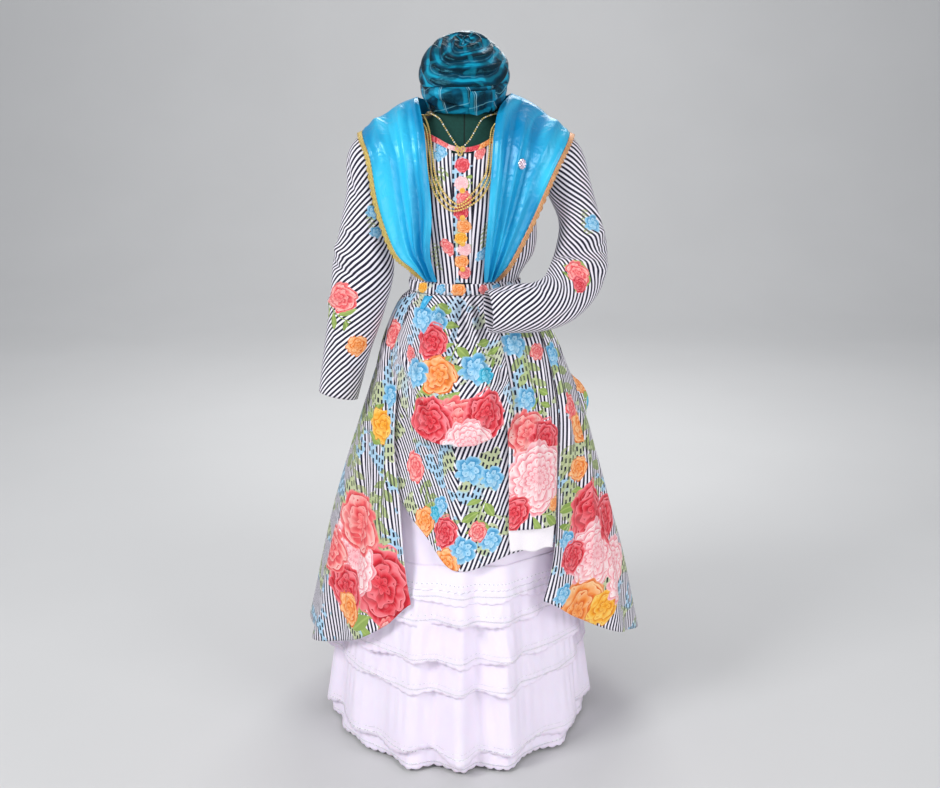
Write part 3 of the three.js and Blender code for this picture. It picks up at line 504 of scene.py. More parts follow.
leaf_print, given = print_group("leaf print", PLACED | {
    "Leaves": "Float", "Stripe": "Float", "Dark": "Color", "Pale": "Color"})
tree = leaf_print
lie = node(tree, "Mapping", [given["Cloth"], given["Place"], given["Turn"], given["Size"]],
           vector_type="TEXTURE")
axes = node(tree, "SeparateXYZ", [lie])
stem = axes.outputs[0]
bend = node(tree, "Math", [node(tree, "Math", [stem, 2.6], operation="MULTIPLY")], operation="SINE")
aside = node(tree, "Math", [bend, -0.16, axes.outputs[1]], operation="MULTIPLY_ADD")
left = node(tree, "Math", [aside, 0.0], operation="GREATER_THAN")
place = node(tree, "Math", [stem, given["Leaves"], node(tree, "Math", [left, 0.45], operation="MULTIPLY")],
             operation="MULTIPLY_ADD")
cell = node(tree, "Math", [place], operation="FLOOR")
x = node(tree, "Math", [node(tree, "Math", [place], operation="FRACT"), 0.5], operation="SUBTRACT")
off_stem = node(tree, "Math", [aside], operation="ABSOLUTE")
y = node(tree, "Math", [off_stem, given["Leaves"]], operation="MULTIPLY")
y = node(tree, "Math", [y, 0.5], operation="SUBTRACT")
turned = node(tree, "Mapping", {"Vector": node(tree, "CombineXYZ", [x, y]),
                                "Rotation": (0, 0, math.radians(-52))})
axes = node(tree, "SeparateXYZ", [turned])
length = node(tree, "Math", [axes.outputs[0], 1.75], operation="MULTIPLY")
length = node(tree, "Math", [length, 2.0], operation="POWER")
width = node(tree, "Math", [length, -0.24, 0.24], operation="MULTIPLY_ADD")
across = node(tree, "Math", [axes.outputs[1]], operation="ABSOLUTE")
blade = node(tree, "Math", [across, width], operation="LESS_THAN")
stalk = node(tree, "Math", [off_stem, 0.018], operation="LESS_THAN")
shape = node(tree, "Math", [blade, stalk], operation="MAXIMUM")
begins = node(tree, "Math", [stem, 0.0], operation="GREATER_THAN")
ends = node(tree, "Math", [stem, 1.0], operation="LESS_THAN")
shape = node(tree, "Math", [shape, node(tree, "Math", [begins, ends], operation="MULTIPLY")],
             operation="MULTIPLY")
seen = node(tree, "Math", [given["Stripe"], -1.0, 1.0], operation="MULTIPLY_ADD")
shape = node(tree, "Math", [shape, seen], operation="MULTIPLY")
each = node(tree, "TexWhiteNoise", {"Vector": node(tree, "CombineXYZ", [cell, left])})
vein = node(tree, "MapRange", {"Value": across, "From Min": 0.015, "From Max": 0.05})
tint = node(tree, "Math", [node(tree, "Math", [vein, 0.5], operation="MULTIPLY"), each.outputs[0]],
            operation="MULTIPLY")
tint = node(tree, "Math", [tint, 1.3], operation="MULTIPLY")
colour = node(tree, "MixRGB", [tint, given["Pale"], given["Dark"]])
over = node(tree, "MixRGB", [shape, given["Below"], colour])
tree.links.new(over.outputs[0], tree.nodes.new("NodeGroupOutput").inputs[0])


def printed(name, motifs, lean=0, chevron=False, dashes=0.0, pitch=STRIPE_PITCH):
    """Printed cotton: stripes at an angle, with motifs given as kind, across, down, size and turn."""
    made, tree, shader = material(name, {"Roughness": 0.8, "Specular IOR Level": 0.3, "Sheen Weight": 0.1})
    lie = node(tree, "UVMap", uv_map="cloth")
    laid = node(tree, "VectorMath", {0: lie, "Scale": 1 / MM}, operation="SCALE")
    wobble = node(tree, "TexNoise", {"Vector": laid, "Scale": 0.006, "Detail": 1}, noise_dimensions="2D")
    axes = node(tree, "SeparateXYZ", [laid])
    x = node(tree, "Math", [axes.outputs[0]], operation="ABSOLUTE") if chevron else axes.outputs[0]
    turned = node(tree, "Mapping", {"Vector": node(tree, "CombineXYZ", [x, axes.outputs[1]]),
                                    "Rotation": (0, 0, math.radians(lean))})
    axes = node(tree, "SeparateXYZ", [turned])
    line = node(tree, "Math", [axes.outputs[0], 1 / pitch], operation="MULTIPLY")
    line = node(tree, "Math", [wobble, 0.7, line], operation="MULTIPLY_ADD")
    number = node(tree, "Math", [line], operation="FLOOR")
    middle = node(tree, "Math", [line, 0.5], operation="PINGPONG")
    navy = node(tree, "MapRange", {"Value": middle, "From Min": 0.22, "From Max": 0.29},
                interpolation_type="SMOOTHSTEP")
    # In the leafy parts of the print the stripes break into dashes over an olive and sky-blue wash.
    start = node(tree, "TexWhiteNoise", {"W": number}, noise_dimensions="1D")
    step = node(tree, "Math", [axes.outputs[1], 1 / 19, start.outputs[0]], operation="MULTIPLY_ADD")
    dash = node(tree, "Math", [step], operation="FRACT")
    dash = node(tree, "Math", [dash, 0.42], operation="GREATER_THAN")
    cloud = node(tree, "TexNoise", {"Vector": laid, "Scale": 0.014, "Detail": 2, "Roughness": 0.6},
                 noise_dimensions="2D")
    leafy = node(tree, "MapRange", {"Value": cloud, "From Min": 0.53, "From Max": 0.55, "To Max": dashes})
    cut = node(tree, "Math", [leafy, node(tree, "Math", [1.0, dash], operation="SUBTRACT")],
               operation="MULTIPLY")
    stripe = node(tree, "Math", [navy, node(tree, "Math", [1.0, cut], operation="SUBTRACT")],
                  operation="MULTIPLY")
    wash = node(tree, "TexNoise", {"Vector": laid, "Scale": 0.009, "Detail": 1}, noise_dimensions="2D")
    wash = node(tree, "MapRange", {"Value": wash, "From Min": 0.47, "From Max": 0.52})
    tint = node(tree, "MixRGB", [wash, linear("#B8C48C"), linear("#9CCBE6")])
    ground = node(tree, "MixRGB", [node(tree, "Math", [leafy, 0.85], operation="MULTIPLY"),
                                   linear("#F5F0F9"), tint])
    print_now = node(tree, "MixRGB", [stripe, ground, linear("#17142F")])
    held = node(tree, "Math", [stripe, 0.75], operation="MULTIPLY")
    for kind, across, down, size, turn in sorted(motifs, key=lambda motif: motif[0] not in LEAVES):
        common = {"Below": print_now, "Cloth": laid, "Place": (across, down, 0),
                  "Turn": (0, 0, math.radians(turn)), "Size": (size, size, size)}
        if kind in LEAVES:
            leaves, dark, pale = LEAVES[kind]
            own = {"Leaves": leaves, "Stripe": None if kind == "leaf" else held,
                   "Dark": linear(dark), "Pale": linear(pale)}
            print_now = node(tree, "Group", common | own, node_tree=leaf_print)
        else:
            petals, rings, deep, middle, pale = FLOWERS[kind]
            own = {"Petals": petals, "Rings": rings, "Deep": linear(deep), "Middle": linear(middle),
                   "Pale": linear(pale)}
            print_now = node(tree, "Group", common | own, node_tree=flower_print)
    THREAD_MM = 1.6        # drawn about four times as coarse as the cotton, so that it shows
    CRUSH_MM = 45          # from one soft crease of wear to the next
    thread = node(tree, "TexNoise", {"Vector": laid, "Scale": 1 / THREAD_MM, "Detail": 2})
    crush = node(tree, "TexNoise", {"Vector": laid, "Scale": 1 / CRUSH_MM, "Detail": 2, "Distortion": 0.6})
    height = node(tree, "Math", [crush, 7.0, thread], operation="MULTIPLY_ADD")
    surfaced(tree, shader, print_now, height)
    return made


wrong_side = mottled("printed cotton, white wrong side", {"Roughness": 0.85}, 500, "#EFE6EE", "#FBF7FA",
                     relief=(0.3, 0.5))
COTTON = 1.1               # wall of the gown's cloth


def made_up(label, name, replaced, points, motifs, held, on, middle=0, wall=COTTON, ring=False, **stripes):
    """Piece of the gown, cut from its own stretch of the print, white inside and sewn in."""
    finish = printed("printed cotton, " + label, motifs, **stripes)
    piece = cloth(name + "_cotton", points, [finish, wrong_side], wall, middle, ring)
    sewn(piece, replaced)


# ---- Gown skirt: flared panels gathered into the waist, open in front over a shorter lower front. The
# middle is picked up into a pouf, and one front edge is turned back.
SKIRT_TOP = 1056.5
SKIRT = [
    # z, left, right, front, back
    (1056.5, 125, 125, 85, 85),
    (1030, 150, 152, 97, 104),
    (985, 174, 186, 107, 140),
    (940, 192, 212, 128, 168),
    (862, 212, 244, 182, 196),
    (775, 238, 276, 228, 222),
    (687, 265, 303, 245, 244),
    (584, 296, 330, 260, 268),
    (506, 319, 352, 275, 286),
    (400, 346, 382, 296, 305),
    (277, 374, 410, 312, 325),
    (170, 400, 434, 320, 342),
]
SKIRT_HEM = [
    # angle, z
    (-180, 176), (-120, 196), (-90, 212), (-66, 226), (-44, 276), (-29, 338), (-19, 398), (26, 398),
    (40, 338), (60, 262), (90, 194), (120, 184), (180, 176),
]
FLUTES = [
    # angle, half width, depth
    (-168, 9, 20), (-146, 8, 17), (-122, 9, 16), (-100, 8, 12), (-80, 7, -10), (-66, 7, 13), (-52, 6, -7),
    (-38, 7, 12), (-24, 5, 8), (32, 6, 9), (46, 6, -9), (60, 7, 13), (74, 6, -10), (88, 7, 9), (104, 8, 14),
    (128, 9, 16), (150, 8, 18),
]
RIGHT_EDGE = [(1056, -58), (880, -47), (640, -31), (400, -20)]     # z, angle
LEFT_EDGE = [(1056, 62), (860, 55), (600, 40), (400, 27)]          # z, angle
EDGE_GAP = 115             # 2 mm beside the left edge, times the degrees in a radian
# Gathers at the waist of each panel, which fade out lower down.
GATHERS = [
    # share, half width, height, fades at z
    (0.04, 0.013, 3.4, 900),
    (0.10, 0.016, -3.0, 860),
    (0.17, 0.012, 3.6, 930),
    (0.25, 0.018, -3.4, 820),
    (0.33, 0.013, 3.0, 900),
    (0.41, 0.015, -3.2, 880),
    (0.48, 0.012, 3.5, 840),
    (0.57, 0.018, -3.0, 910),
    (0.64, 0.013, 3.8, 860),
    (0.73, 0.016, -3.4, 900),
    (0.81, 0.012, 3.0, 850),
    (0.89, 0.016, -3.2, 930),
    (0.96, 0.012, 3.2, 890),
]


def signed(angle):
    """The same angle, from -180 to 180."""
    return np.where(angle > 180, angle - 360, angle)


def skirt_at(angle, z, out=0.0):
    """Points on the skirt's outer layer, whose flutes grow from the waist to the hem."""
    flute = sum(depth * np.exp(-(((signed(angle) - at) / width) ** 2)) for at, width, depth in FLUTES)
    grown = out + flute * ease((1040 - z) / 500)
    return oval(angle, z, *[read(SKIRT, z, k) + grown for k in (1, 2, 3, 4)])


def skirt_panel(from_edge, to_edge, rows, columns):
    """Panel between two edges whose angles change with height, down to the hem at its own angle."""
    v, u = shares(rows, columns)
    z = np.full(v.shape, SKIRT_TOP)
    for _ in range(12):
        angle = mix(read(from_edge, z, 1), read(to_edge, z, 1), u)
        z = mix(SKIRT_TOP, read(SKIRT_HEM, signed(angle), 1), v)
    gather = sum(height * np.exp(-(((u - share) / width) ** 2)) * ease((z - fades) / 140)
                 for share, width, height, fades in GATHERS)
    return pushed(skirt_at(angle, z), gather * ease((SKIRT_TOP - z) / 18))


def straight(angle):
    """Edge of a panel that hangs straight down at one angle."""
    return [(1056, angle), (150, angle)]


SKIRT_CREASES = {
    # across, down, across, down of its ends from the panel's free edge, half width, height
    "right": [(-12, 60, -34, 520, 7, 5), (-30, 180, -70, 700, 9, -6), (-62, 240, -118, 760, 8, 6),
              (-95, 300, -170, 700, 10, -6), (-120, 380, -215, 820, 9, 6), (-40, 520, -66, 690, 8, 5),
              (-150, 200, -235, 640, 9, -5), (-18, 420, -22, 640, 6, -4)],
    "left": [(14, 90, 40, 560, 7, 5), (34, 200, 82, 640, 9, -6), (66, 260, 130, 720, 8, 6),
             (100, 300, 185, 760, 10, -6), (130, 340, 220, 800, 9, 6), (48, 480, 60, 660, 7, 5),
             (150, 180, 240, 620, 9, -5)],
    "back": [(0, 120, 0, 800, 14, 7), (-120, 160, -190, 780, 12, -7), (130, 140, 200, 790, 13, 7),
             (-240, 200, -360, 780, 12, 6), (250, 220, 370, 800, 12, -7), (-60, 420, -84, 800, 9, 5)],
}
edge_left = [(z, angle + EDGE_GAP / float(read(SKIRT, z, 2))) for z, angle in LEFT_EDGE]
WIDTHS = {
    # node: edges, rows, columns, column that the cloth is measured from, its table of creases and motifs
    "skirt_right_panel": (straight(-100), RIGHT_EDGE, 96, 84, 84, "right"),
    "skirt_left_panel": (edge_left, straight(100), 96, 84, 0, "left"),
    "skirt_back_left": (straight(100.25), straight(179.85), 84, 72, 72, "back"),
    "skirt_back_right": (straight(180.15), straight(259.75), 84, 72, 0, "back"),
}
SKIRT_PRINT = {
    "right": [("yellow", -52, 322, 42, 20), ("leaf", -60, 370, 90, 250), ("olive", -150, 330, 200, 80),
              ("spray", -20, 420, 190, 100), ("olive", -90, 480, 180, 60), ("blue", -24, 250, 30, 0),
              ("leaf", -20, 660, 120, 30), ("leaf", -170, 760, 150, -20), ("leaf", -60, 800, 130, 200),
              ("red", -78, 680, 96, 30), ("peony", -176, 640, 92, 10), ("coral", -146, 556, 76, 70),
              ("red", -206, 716, 62, 10), ("coral", -70, 800, 46, 0), ("blue", -10, 760, 26, 40),
              ("spray", -120, 120, 200, 80),
              ("coral", -30, 110, 34, 0), ("orange", -200, 760, 40, 0), ("blue", -210, 420, 30, 0),
              ("coral", -260, 640, 60, 50), ("spray", -230, 300, 240, 85)],
    "left": [("blue", 20, 170, 34, 0), ("spray", 40, 60, 220, 80), ("coral", 52, 300, 34, 10),
             ("orange", 86, 350, 40, 60), ("olive", 30, 380, 170, 70), ("orange", 60, 440, 30, 0),
             ("leaf", 100, 500, 100, 120), ("red", 114, 545, 74, 40), ("peony", 138, 650, 84, 0),
             ("blue", 40, 600, 26, 30), ("red", 66, 640, 40, 0), ("orange", 110, 770, 74, 20),
             ("yellow", 190, 780, 46, 0), ("blue", 48, 720, 26, 0), ("leaf", 190, 800, 90, 180),
             ("red", 220, 600, 60, 0), ("spray", 180, 300, 240, 80), ("peony", 250, 720, 70, 30)],
    "back": [("spray", -300, 120, 260, 80), ("spray", 40, 100, 260, 95), ("spray", 300, 160, 240, 70),
             ("olive", -120, 240, 240, 100), ("olive", 200, 320, 240, 80), ("yellow", -200, 420, 44, 0),
             ("blue", -60, 380, 34, 0), ("orange", 120, 460, 46, 30), ("blue", 300, 430, 34, 0),
             ("leaf", -420, 640, 160, 20), ("leaf", -60, 720, 160, 160), ("leaf", 330, 700, 160, 10),
             ("peony", -330, 690, 92, 0), ("red", -220, 640, 78, 40), ("coral", -110, 740, 62, 0),
             ("peony", 40, 680, 94, 60), ("red", 150, 740, 74, 10), ("orange", 250, 660, 60, 0),
             ("peony", 400, 720, 90, 20), ("red", 480, 640, 60, 0), ("blue", -30, 800, 30, 0),
             ("orange", -440, 760, 60, 0)],
}
for name, (from_edge, to_edge, rows, columns, middle, side) in WIDTHS.items():
    points = creased(skirt_panel(from_edge, to_edge, rows, columns), SKIRT_CREASES[side], middle)
    made_up(name[6:], name, name, points, SKIRT_PRINT[side], "gathered", "petticoat_yoke_lawn", middle,
            dashes=1.0)

# Lower front: a shorter width of the same cloth under the pouf, its hem curving up at both sides.
FRONT_HEM = [(-36, 640), (-28, 606), (-16, 540), (-7, 480), (0, 471), (8, 484), (18, 505), (40, 520)]
FRONT_CREASES = [(-110, 380, -30, 560, 9, 6), (-80, 330, 10, 600, 8, -6), (-40, 340, 40, 590, 9, 6),
                 (20, 380, 70, 560, 8, -5), (60, 340, 90, 520, 8, 5), (-140, 420, -70, 560, 9, -5),
                 (-20, 480, 0, 620, 7, 5)]
FRONT_PRINT = [("blue", 30, 400, 36, 0), ("spray", -120, 430, 150, 40), ("leaf", -90, 470, 90, 60),
               ("coral", -150, 400, 36, 0), ("red", -46, 540, 40, 20), ("orange", -40, 612, 38, 60),
               ("orange", -120, 520, 36, 0), ("blue", 6, 580, 34, 30), ("blue", 70, 560, 30, 0),
               ("blue", -60, 480, 26, 0), ("coral", 40, 540, 24, 0), ("teal", -80, 500, 22, 0),
               ("leaf", 60, 470, 80, 100), ("blue", 80, 420, 30, 0)]
v, u = shares(100, 96)
angle = mix(mix(-60, -43, ease((v - 0.3) / 0.5)), mix(64, 40, ease(v * 1.6)), u)
z = mix(SKIRT_TOP, read(FRONT_HEM, angle, 1), v)
points = skirt_at(angle, z, -(2.1 + 9 * ease((SKIRT_TOP - z) / 110)))
points = creased(points, FRONT_CREASES, 48)
made_up("lower front", "skirt_front", "skirt_lower_front", points, FRONT_PRINT, "gathered",
        "petticoat_yoke_lawn", 48, lean=-24, chevron=True, dashes=1.0)

# Pouf: the top of the front, picked up, puffed out and turned under.
POUF_HEM = [(-50, 905), (-38, 862), (-22, 786), (-10, 765), (3, 764), (15, 784), (23, 818)]
POUF = {"left": -50, "right": 23, "swell": 34, "turn under": 46, "turned from": 0.78}
POUF_CREASES = [(-34, 4, -120, 210, 8, 10), (-20, 6, -76, 300, 9, -8), (-8, 4, -26, 250, 7, 8),
                (10, 4, 40, 240, 8, -7), (20, 6, 84, 290, 9, 10), (34, 10, 118, 200, 8, -7),
                (-140, 120, -60, 330, 10, 11), (-120, 190, -10, 350, 9, -8), (110, 150, 40, 345, 10, 10),
                (90, 220, -20, 362, 9, -8)]
POUF_PRINT = [("blue", -62, 60, 30, 0), ("leaf", -60, 20, 80, 60), ("red", -72, 110, 46, 30),
              ("blue", -106, 60, 34, 0), ("orange", -48, 190, 52, 50), ("blue", -112, 190, 40, 30),
              ("leaf", -100, 230, 110, 20), ("leaf", 0, 110, 90, 90), ("blue", 44, 170, 42, 0),
              ("leaf", 50, 110, 70, 30), ("teal", 74, 190, 24, 0), ("coral", 6, 300, 62, 0),
              ("red", -62, 300, 62, 60), ("red", 74, 280, 58, 0), ("peony", 30, 352, 62, 20),
              ("leaf", -120, 300, 90, 80), ("coral", -150, 150, 22, 0), ("spray", -30, 210, 110, 60)]
v, u = shares(110, 96)
angle = mix(POUF["left"], POUF["right"], u)
fall = np.minimum(1, v / POUF["turned from"])
under = np.clip((v - POUF["turned from"]) / 0.22, 0, 1)
foot = read(POUF_HEM, angle, 1)
swell = POUF["swell"] * np.sin(fall * 0.62 * math.pi) ** 2.2 * np.sin(math.pi * mix(0.12, 0.88, u))
z = mix(SKIRT_TOP, foot, fall) + POUF["turn under"] * under**2
points = skirt_at(angle, z, 0.6 + swell * (1 - 0.8 * under) + 5 * fall * (1 - under))
points = creased(points, POUF_CREASES, 60)
made_up("pouf", "skirt_pouf", "skirt_pouf", points, POUF_PRINT, "gathered", "skirt_front_cotton", 60,
        lean=-32, chevron=True, dashes=0.8)

# Left front edge: a panel of large flowers, with its hem turned back to show white.
PEONY_SHARE = 0.75         # how far down the skirt the panel reaches before it turns back
edge_z = float(read(SKIRT_HEM, float(read(LEFT_EDGE, 398, 1)) + 0.25, 1))
v, u = shares(80, 42)
z = mix(SKIRT_TOP, mix(SKIRT_TOP, edge_z, PEONY_SHARE), v)
angle = mix(mix(24, 17, v), read(LEFT_EDGE, z, 1) - EDGE_GAP / read(SKIRT, z, 2), u)
points = skirt_at(angle, z, 5 * np.sin(math.pi * u) * v)
PEONY_CREASES = [(-30, 60, -40, 480, 7, 4), (6, 40, 10, 380, 7, -4), (34, 120, 46, 500, 7, 4),
                 (-8, 300, -4, 500, 6, 3)]
points = creased(points, PEONY_CREASES, 21)
PEONY_PRINT = [("blue", -26, 120, 34, 0), ("spray", 10, 40, 200, 85), ("blue", -20, 250, 30, 20),
               ("coral", 30, 150, 20, 0), ("coral", -26, 330, 56, 0), ("red", 22, 350, 50, 30),
               ("peony", -2, 432, 84, 10), ("leaf", -10, 510, 90, -10), ("red", -56, 500, 42, 0),
               ("orange", 50, 500, 18, 0), ("leaf", 20, 230, 60, 80)]
made_up("peony panel", "skirt_peony", "skirt_peony_panel", points, PEONY_PRINT, "gathered",
        "skirt_front_cotton", 21, dashes=1.0)
v, u = shares(14, 42)
z = mix(563, 512, v) + 3 * np.sin(u * 9) * v
points = skirt_at(mix(17, read(LEFT_EDGE, z, 1) - 1, u), z, -2.3 + 1.5 * np.sin(u * 14) * v)
turned = cloth("skirt_turned_cotton", points, [wrong_side], COTTON)
sewn(turned, "skirt_turned_hem")

# Side puff: a handful of the skirt that is caught up at the left hip.
v, u = shares(30, 34)
rounded = np.sin(math.pi * v) * np.sin(math.pi * u)
points = skirt_at(mix(84, 112, u), mix(846, 758, v), 2.4 + 20 * rounded)
points = creased(points, [(30, 5, 40, 110, 6, 4), (60, 0, 66, 120, 6, -4), (88, 10, 90, 110, 6, 4)])
PUFF_PRINT = [("leaf", 10, 60, 90, 0), ("teal", 60, 90, 40, 0), ("leaf", 60, 30, 90, 60),
              ("orange", 30, 20, 30, 0)]
made_up("side puff", "skirt_puff", "skirt_side_puff", points, PUFF_PRINT, "gathered",
        "skirt_left_panel_cotton", dashes=1)

# ---- Bodice: two fronts and a back of the same cotton, cut close to the form, with round armholes and a
# wide scooped neck. A button band, a neck binding and a drawn waist casing finish its edges.
FORM = [
    # z, side, front, back
    (740, 158, 98, 106),
    (800, 168, 104, 116),
    (880, 168, 100, 116),
    (960, 148, 90, 98),
    (1010, 129, 82, 85),
    (1060, 118, 78, 78),
    (1110, 124, 84, 80),
    (1180, 138, 98, 86),
    (1250, 150, 112, 92),
    (1310, 157, 108, 95),
    (1360, 162, 92, 96),
    (1390, 158, 76, 90),
    (1408, 144, 64, 80),
    (1424, 108, 56, 71),
    (1440, 74, 50, 63),
    (1458, 58, 47, 57),
    (1500, 54, 46, 54),
    (1560, 50, 46, 50),
    (1592, 38, 36, 38),
    (1609, 20, 19, 20),
]
NECKLINE = [
    # angle, z
    (-180, 1438), (-120, 1436), (-90, 1431), (-60, 1420), (-38, 1410), (-22, 1398), (-10, 1384.5), (0, 1380),
    (10, 1384.5), (22, 1398), (38, 1410), (60, 1420), (90, 1431), (120, 1436), (180, 1438),
]
ARMHOLE = {"x": 160, "y": 3, "z": 1345, "high": 62, "deep": 50}
BODICE_OUT = 4.4           # outside of the bodice, outwards from the form
BAND_OUT = BODICE_OUT + 0.6
BODICE_FOOT = SKIRT_TOP + 2
PLACKET = {"right": -9.5, "left": 6.5}     # edges of the button band, in degrees
SIDE_SEAM = 92             # in degrees
GAP = 0.2                  # left open at each side of a seam, in degrees


def lifted(z, out):
    """Height of cloth that lies out from the form, which the flat of the shoulders carries up."""
    return z + out * ease((z - 1380) / 50)


def on_form(angle, z, out):
    """Points outside the dress form, all round it."""
    side, front, back = [read(FORM, z, k) + out for k in (1, 2, 3)]
    return oval(angle, lifted(z, out), side, side, front, back)


def front_of(x, z, out):
    """Points in front of the form at a given x, in metres."""
    side, front = [read(FORM, z, k) + out for k in (1, 2)]
    y = -front * np.sqrt(np.maximum(0.02, 1 - (x / side) ** 2))
    return np.stack(np.broadcast_arrays(x, y, lifted(z, out)), -1) * MM


def bodice_panel(from_angle, to_angle, rows, columns):
    """Panel of the bodice, which hangs loose under the bent arm."""
    v, u = shares(rows, columns)
    angle = mix(from_angle, to_angle, u)
    neck = read(NECKLINE, signed(angle), 1)
    z = mix(neck, BODICE_FOOT, v)
    loose = 24 * np.exp(-(((angle - 84) / 26) ** 2)) * ease((z - 1080) / 70) * ease((1280 - z) / 120)
    return on_form(angle, z, BODICE_OUT + loose)


cutters = []
for hand in (-1, 1):
    bpy.ops.mesh.primitive_cylinder_add(vertices=48, radius=1, depth=0.12, rotation=(0, math.pi / 2, 0))
    cutter = bpy.context.object
    bpy.ops.object.transform_apply(location=False, rotation=True, scale=False)
    cutter.scale = (1, ARMHOLE["deep"] * MM, ARMHOLE["high"] * MM)
    cutter.location = (hand * ARMHOLE["x"] * MM, ARMHOLE["y"] * MM, ARMHOLE["z"] * MM)
    cutters.append(cutter)
BODICE_CREASES = {
    # across, down, across, down, half width, height, from the edge at the placket
    "front_right": [(-14, 330, -26, 190, 6, 1.6), (-30, 335, -52, 170, 7, -2.2),
                    (-48, 335, -84, 210, 6, 1.6), (-70, 335, -110, 230, 6, -2),
                    (-60, 120, -100, 60, 9, 1.8)],
    "front_left": [(12, 330, 24, 200, 6, 1.6), (28, 335, 50, 180, 7, -2.2), (46, 335, 80, 220, 6, 1.6),
                   (66, 335, 104, 240, 6, -2), (58, 120, 96, 64, 9, 1.8)],
    "back": [(-20, 370, -30, 180, 7, 2.4), (16, 370, 30, 200, 7, -2.4), (-60, 375, -84, 220, 7, 2.4),
             (60, 375, 90, 200, 7, 2.4), (-100, 375, -130, 240, 7, -2), (104, 375, 140, 230, 7, -2)],
}
BODICE_PRINT = {
    "front_right": [("blue", -24, 22, 16, 0), ("blue", -34, 40, 12, 0), ("spray", -14, 60, 70, 100),
                    ("coral", -14, 232, 18, 0), ("olive", -40, 240, 60, 80), ("blue", -60, 180, 14, 0)],
    "front_left": [("coral", 16, 20, 14, 0), ("blue", 24, 250, 16, 0), ("olive", 36, 180, 60, 90),
                   ("blue", 30, 90, 12, 0), ("orange", 60, 150, 18, 0)],
    "back": [("coral", -60, 120, 26, 0), ("leaf", -30, 140, 60, 30), ("blue", 60, 200, 24, 0),
             ("orange", 20, 280, 26, 0), ("olive", 80, 90, 90, 80), ("blue", -90, 250, 20, 0)],
}
PANELS = {
    # name: angles of its edges, columns, column the cloth is measured from, lean of the stripes
    "front_right": (-SIDE_SEAM + GAP, PLACKET["right"] - GAP, 48, 48, 4),
    "front_left": (PLACKET["left"] + GAP, SIDE_SEAM - GAP, 48, 0, -4),
    "back": (SIDE_SEAM + GAP, 360 - SIDE_SEAM - GAP, 90, 45, 0),
}
for side, (start, end, columns, middle, lean) in PANELS.items():
    points = creased(bodice_panel(start, end, 64, columns), BODICE_CREASES[side], middle)
    finish = printed(f"printed cotton, bodice {side}", BODICE_PRINT[side], lean=lean)
    panel = cloth(f"bodice_{side}_cotton", points, [finish, wrong_side], COTTON, middle)
    for cutter in cutters:
        shaped(panel, "BOOLEAN", operation="DIFFERENCE", object=cutter)
    sewn(panel, f"bodice_{side}")
for cutter in cutters:
    bpy.data.objects.remove(cutter)

# Button band: a folded strip cut from the flowered border, stitched on down the front.
v, u = shares(90, 10)
high, low = [mix(BODICE_FOOT, 1380, share) for share in (0.965, 0.084)]
points = on_form(mix(PLACKET["right"] + GAP, PLACKET["left"] - GAP, u), mix(high, low, v), BAND_OUT)
BAND_PRINT = [("red", 0, 26, 17, 0), ("leaf", 8, 50, 30, 40), ("peony", -2, 66, 16, 0),
              ("coral", 3, 98, 18, 30), ("red", -3, 128, 17, 0), ("orange", 3, 158, 17, 60),
              ("yellow", -4, 186, 15, 0), ("peony", 4, 212, 16, 0), ("orange", -3, 240, 17, 0),
              ("coral", 4, 266, 15, 0)]
made_up("button band", "bodice_band", "bodice_placket", points, BAND_PRINT, "stretched",
        "bodice_front_right_cotton", 5, 1.6, dashes=1.0)

# Neck binding: a bias strip folded over the raw edge, padded slightly by its turnings.
v, u = shares(10, 240)
angle = u * 360 - 180
z = read(NECKLINE, angle, 1) + 1 - 10 * v
points = on_form(angle, z, BODICE_OUT + 2.5 - 0.8 * np.abs(2 * v - 1) ** 3)
BINDING_PRINT = [("coral", -52, 5, 28, 0), ("red", -92, 5, 30, 0), ("peony", -16, 4, 22, 0),
                 ("red", 24, 5, 22, 0), ("orange", 58, 5, 28, 0), ("red", 98, 5, 30, 0),
                 ("coral", 150, 5, 26, 0), ("peony", -150, 5, 26, 0)]
made_up("neck binding", "neck_binding", "neck_binding", points, BINDING_PRINT, "folded",
        "bodice_back_cotton", 120, 1.3, ring=True, lean=45, dashes=1.0)

# Waist casing: a tunnel drawn up on its tape, so that it is gathered all round.
v, u = shares(16, 420)
round_it = u * 2 * math.pi
gathers = np.cos(round_it * 46 + 1.4 * np.sin(round_it * 5) + 0.8 * np.sin(round_it * 11))
depth = 1.8 + 0.8 * np.sin(round_it * 7 + 1)
out = 6.7 + 2.4 * np.sin(math.pi * v) + gathers * depth * (1 - 0.4 * v)
points = on_form(u * 360 - 180, mix(1083, 1057, v), out)
CASING_PRINT = [("orange", -14, 13, 18, 0), ("blue", -60, 13, 14, 0), ("coral", 44, 13, 12, 0),
                ("blue", 80, 13, 14, 0), ("yellow", -110, 13, 14, 0)]
made_up("waist casing", "waist_casing", "waist_casing", points, CASING_PRINT, "gathered",
        "bodice_back_cotton", 210, ring=True, lean=8, dashes=0.6)

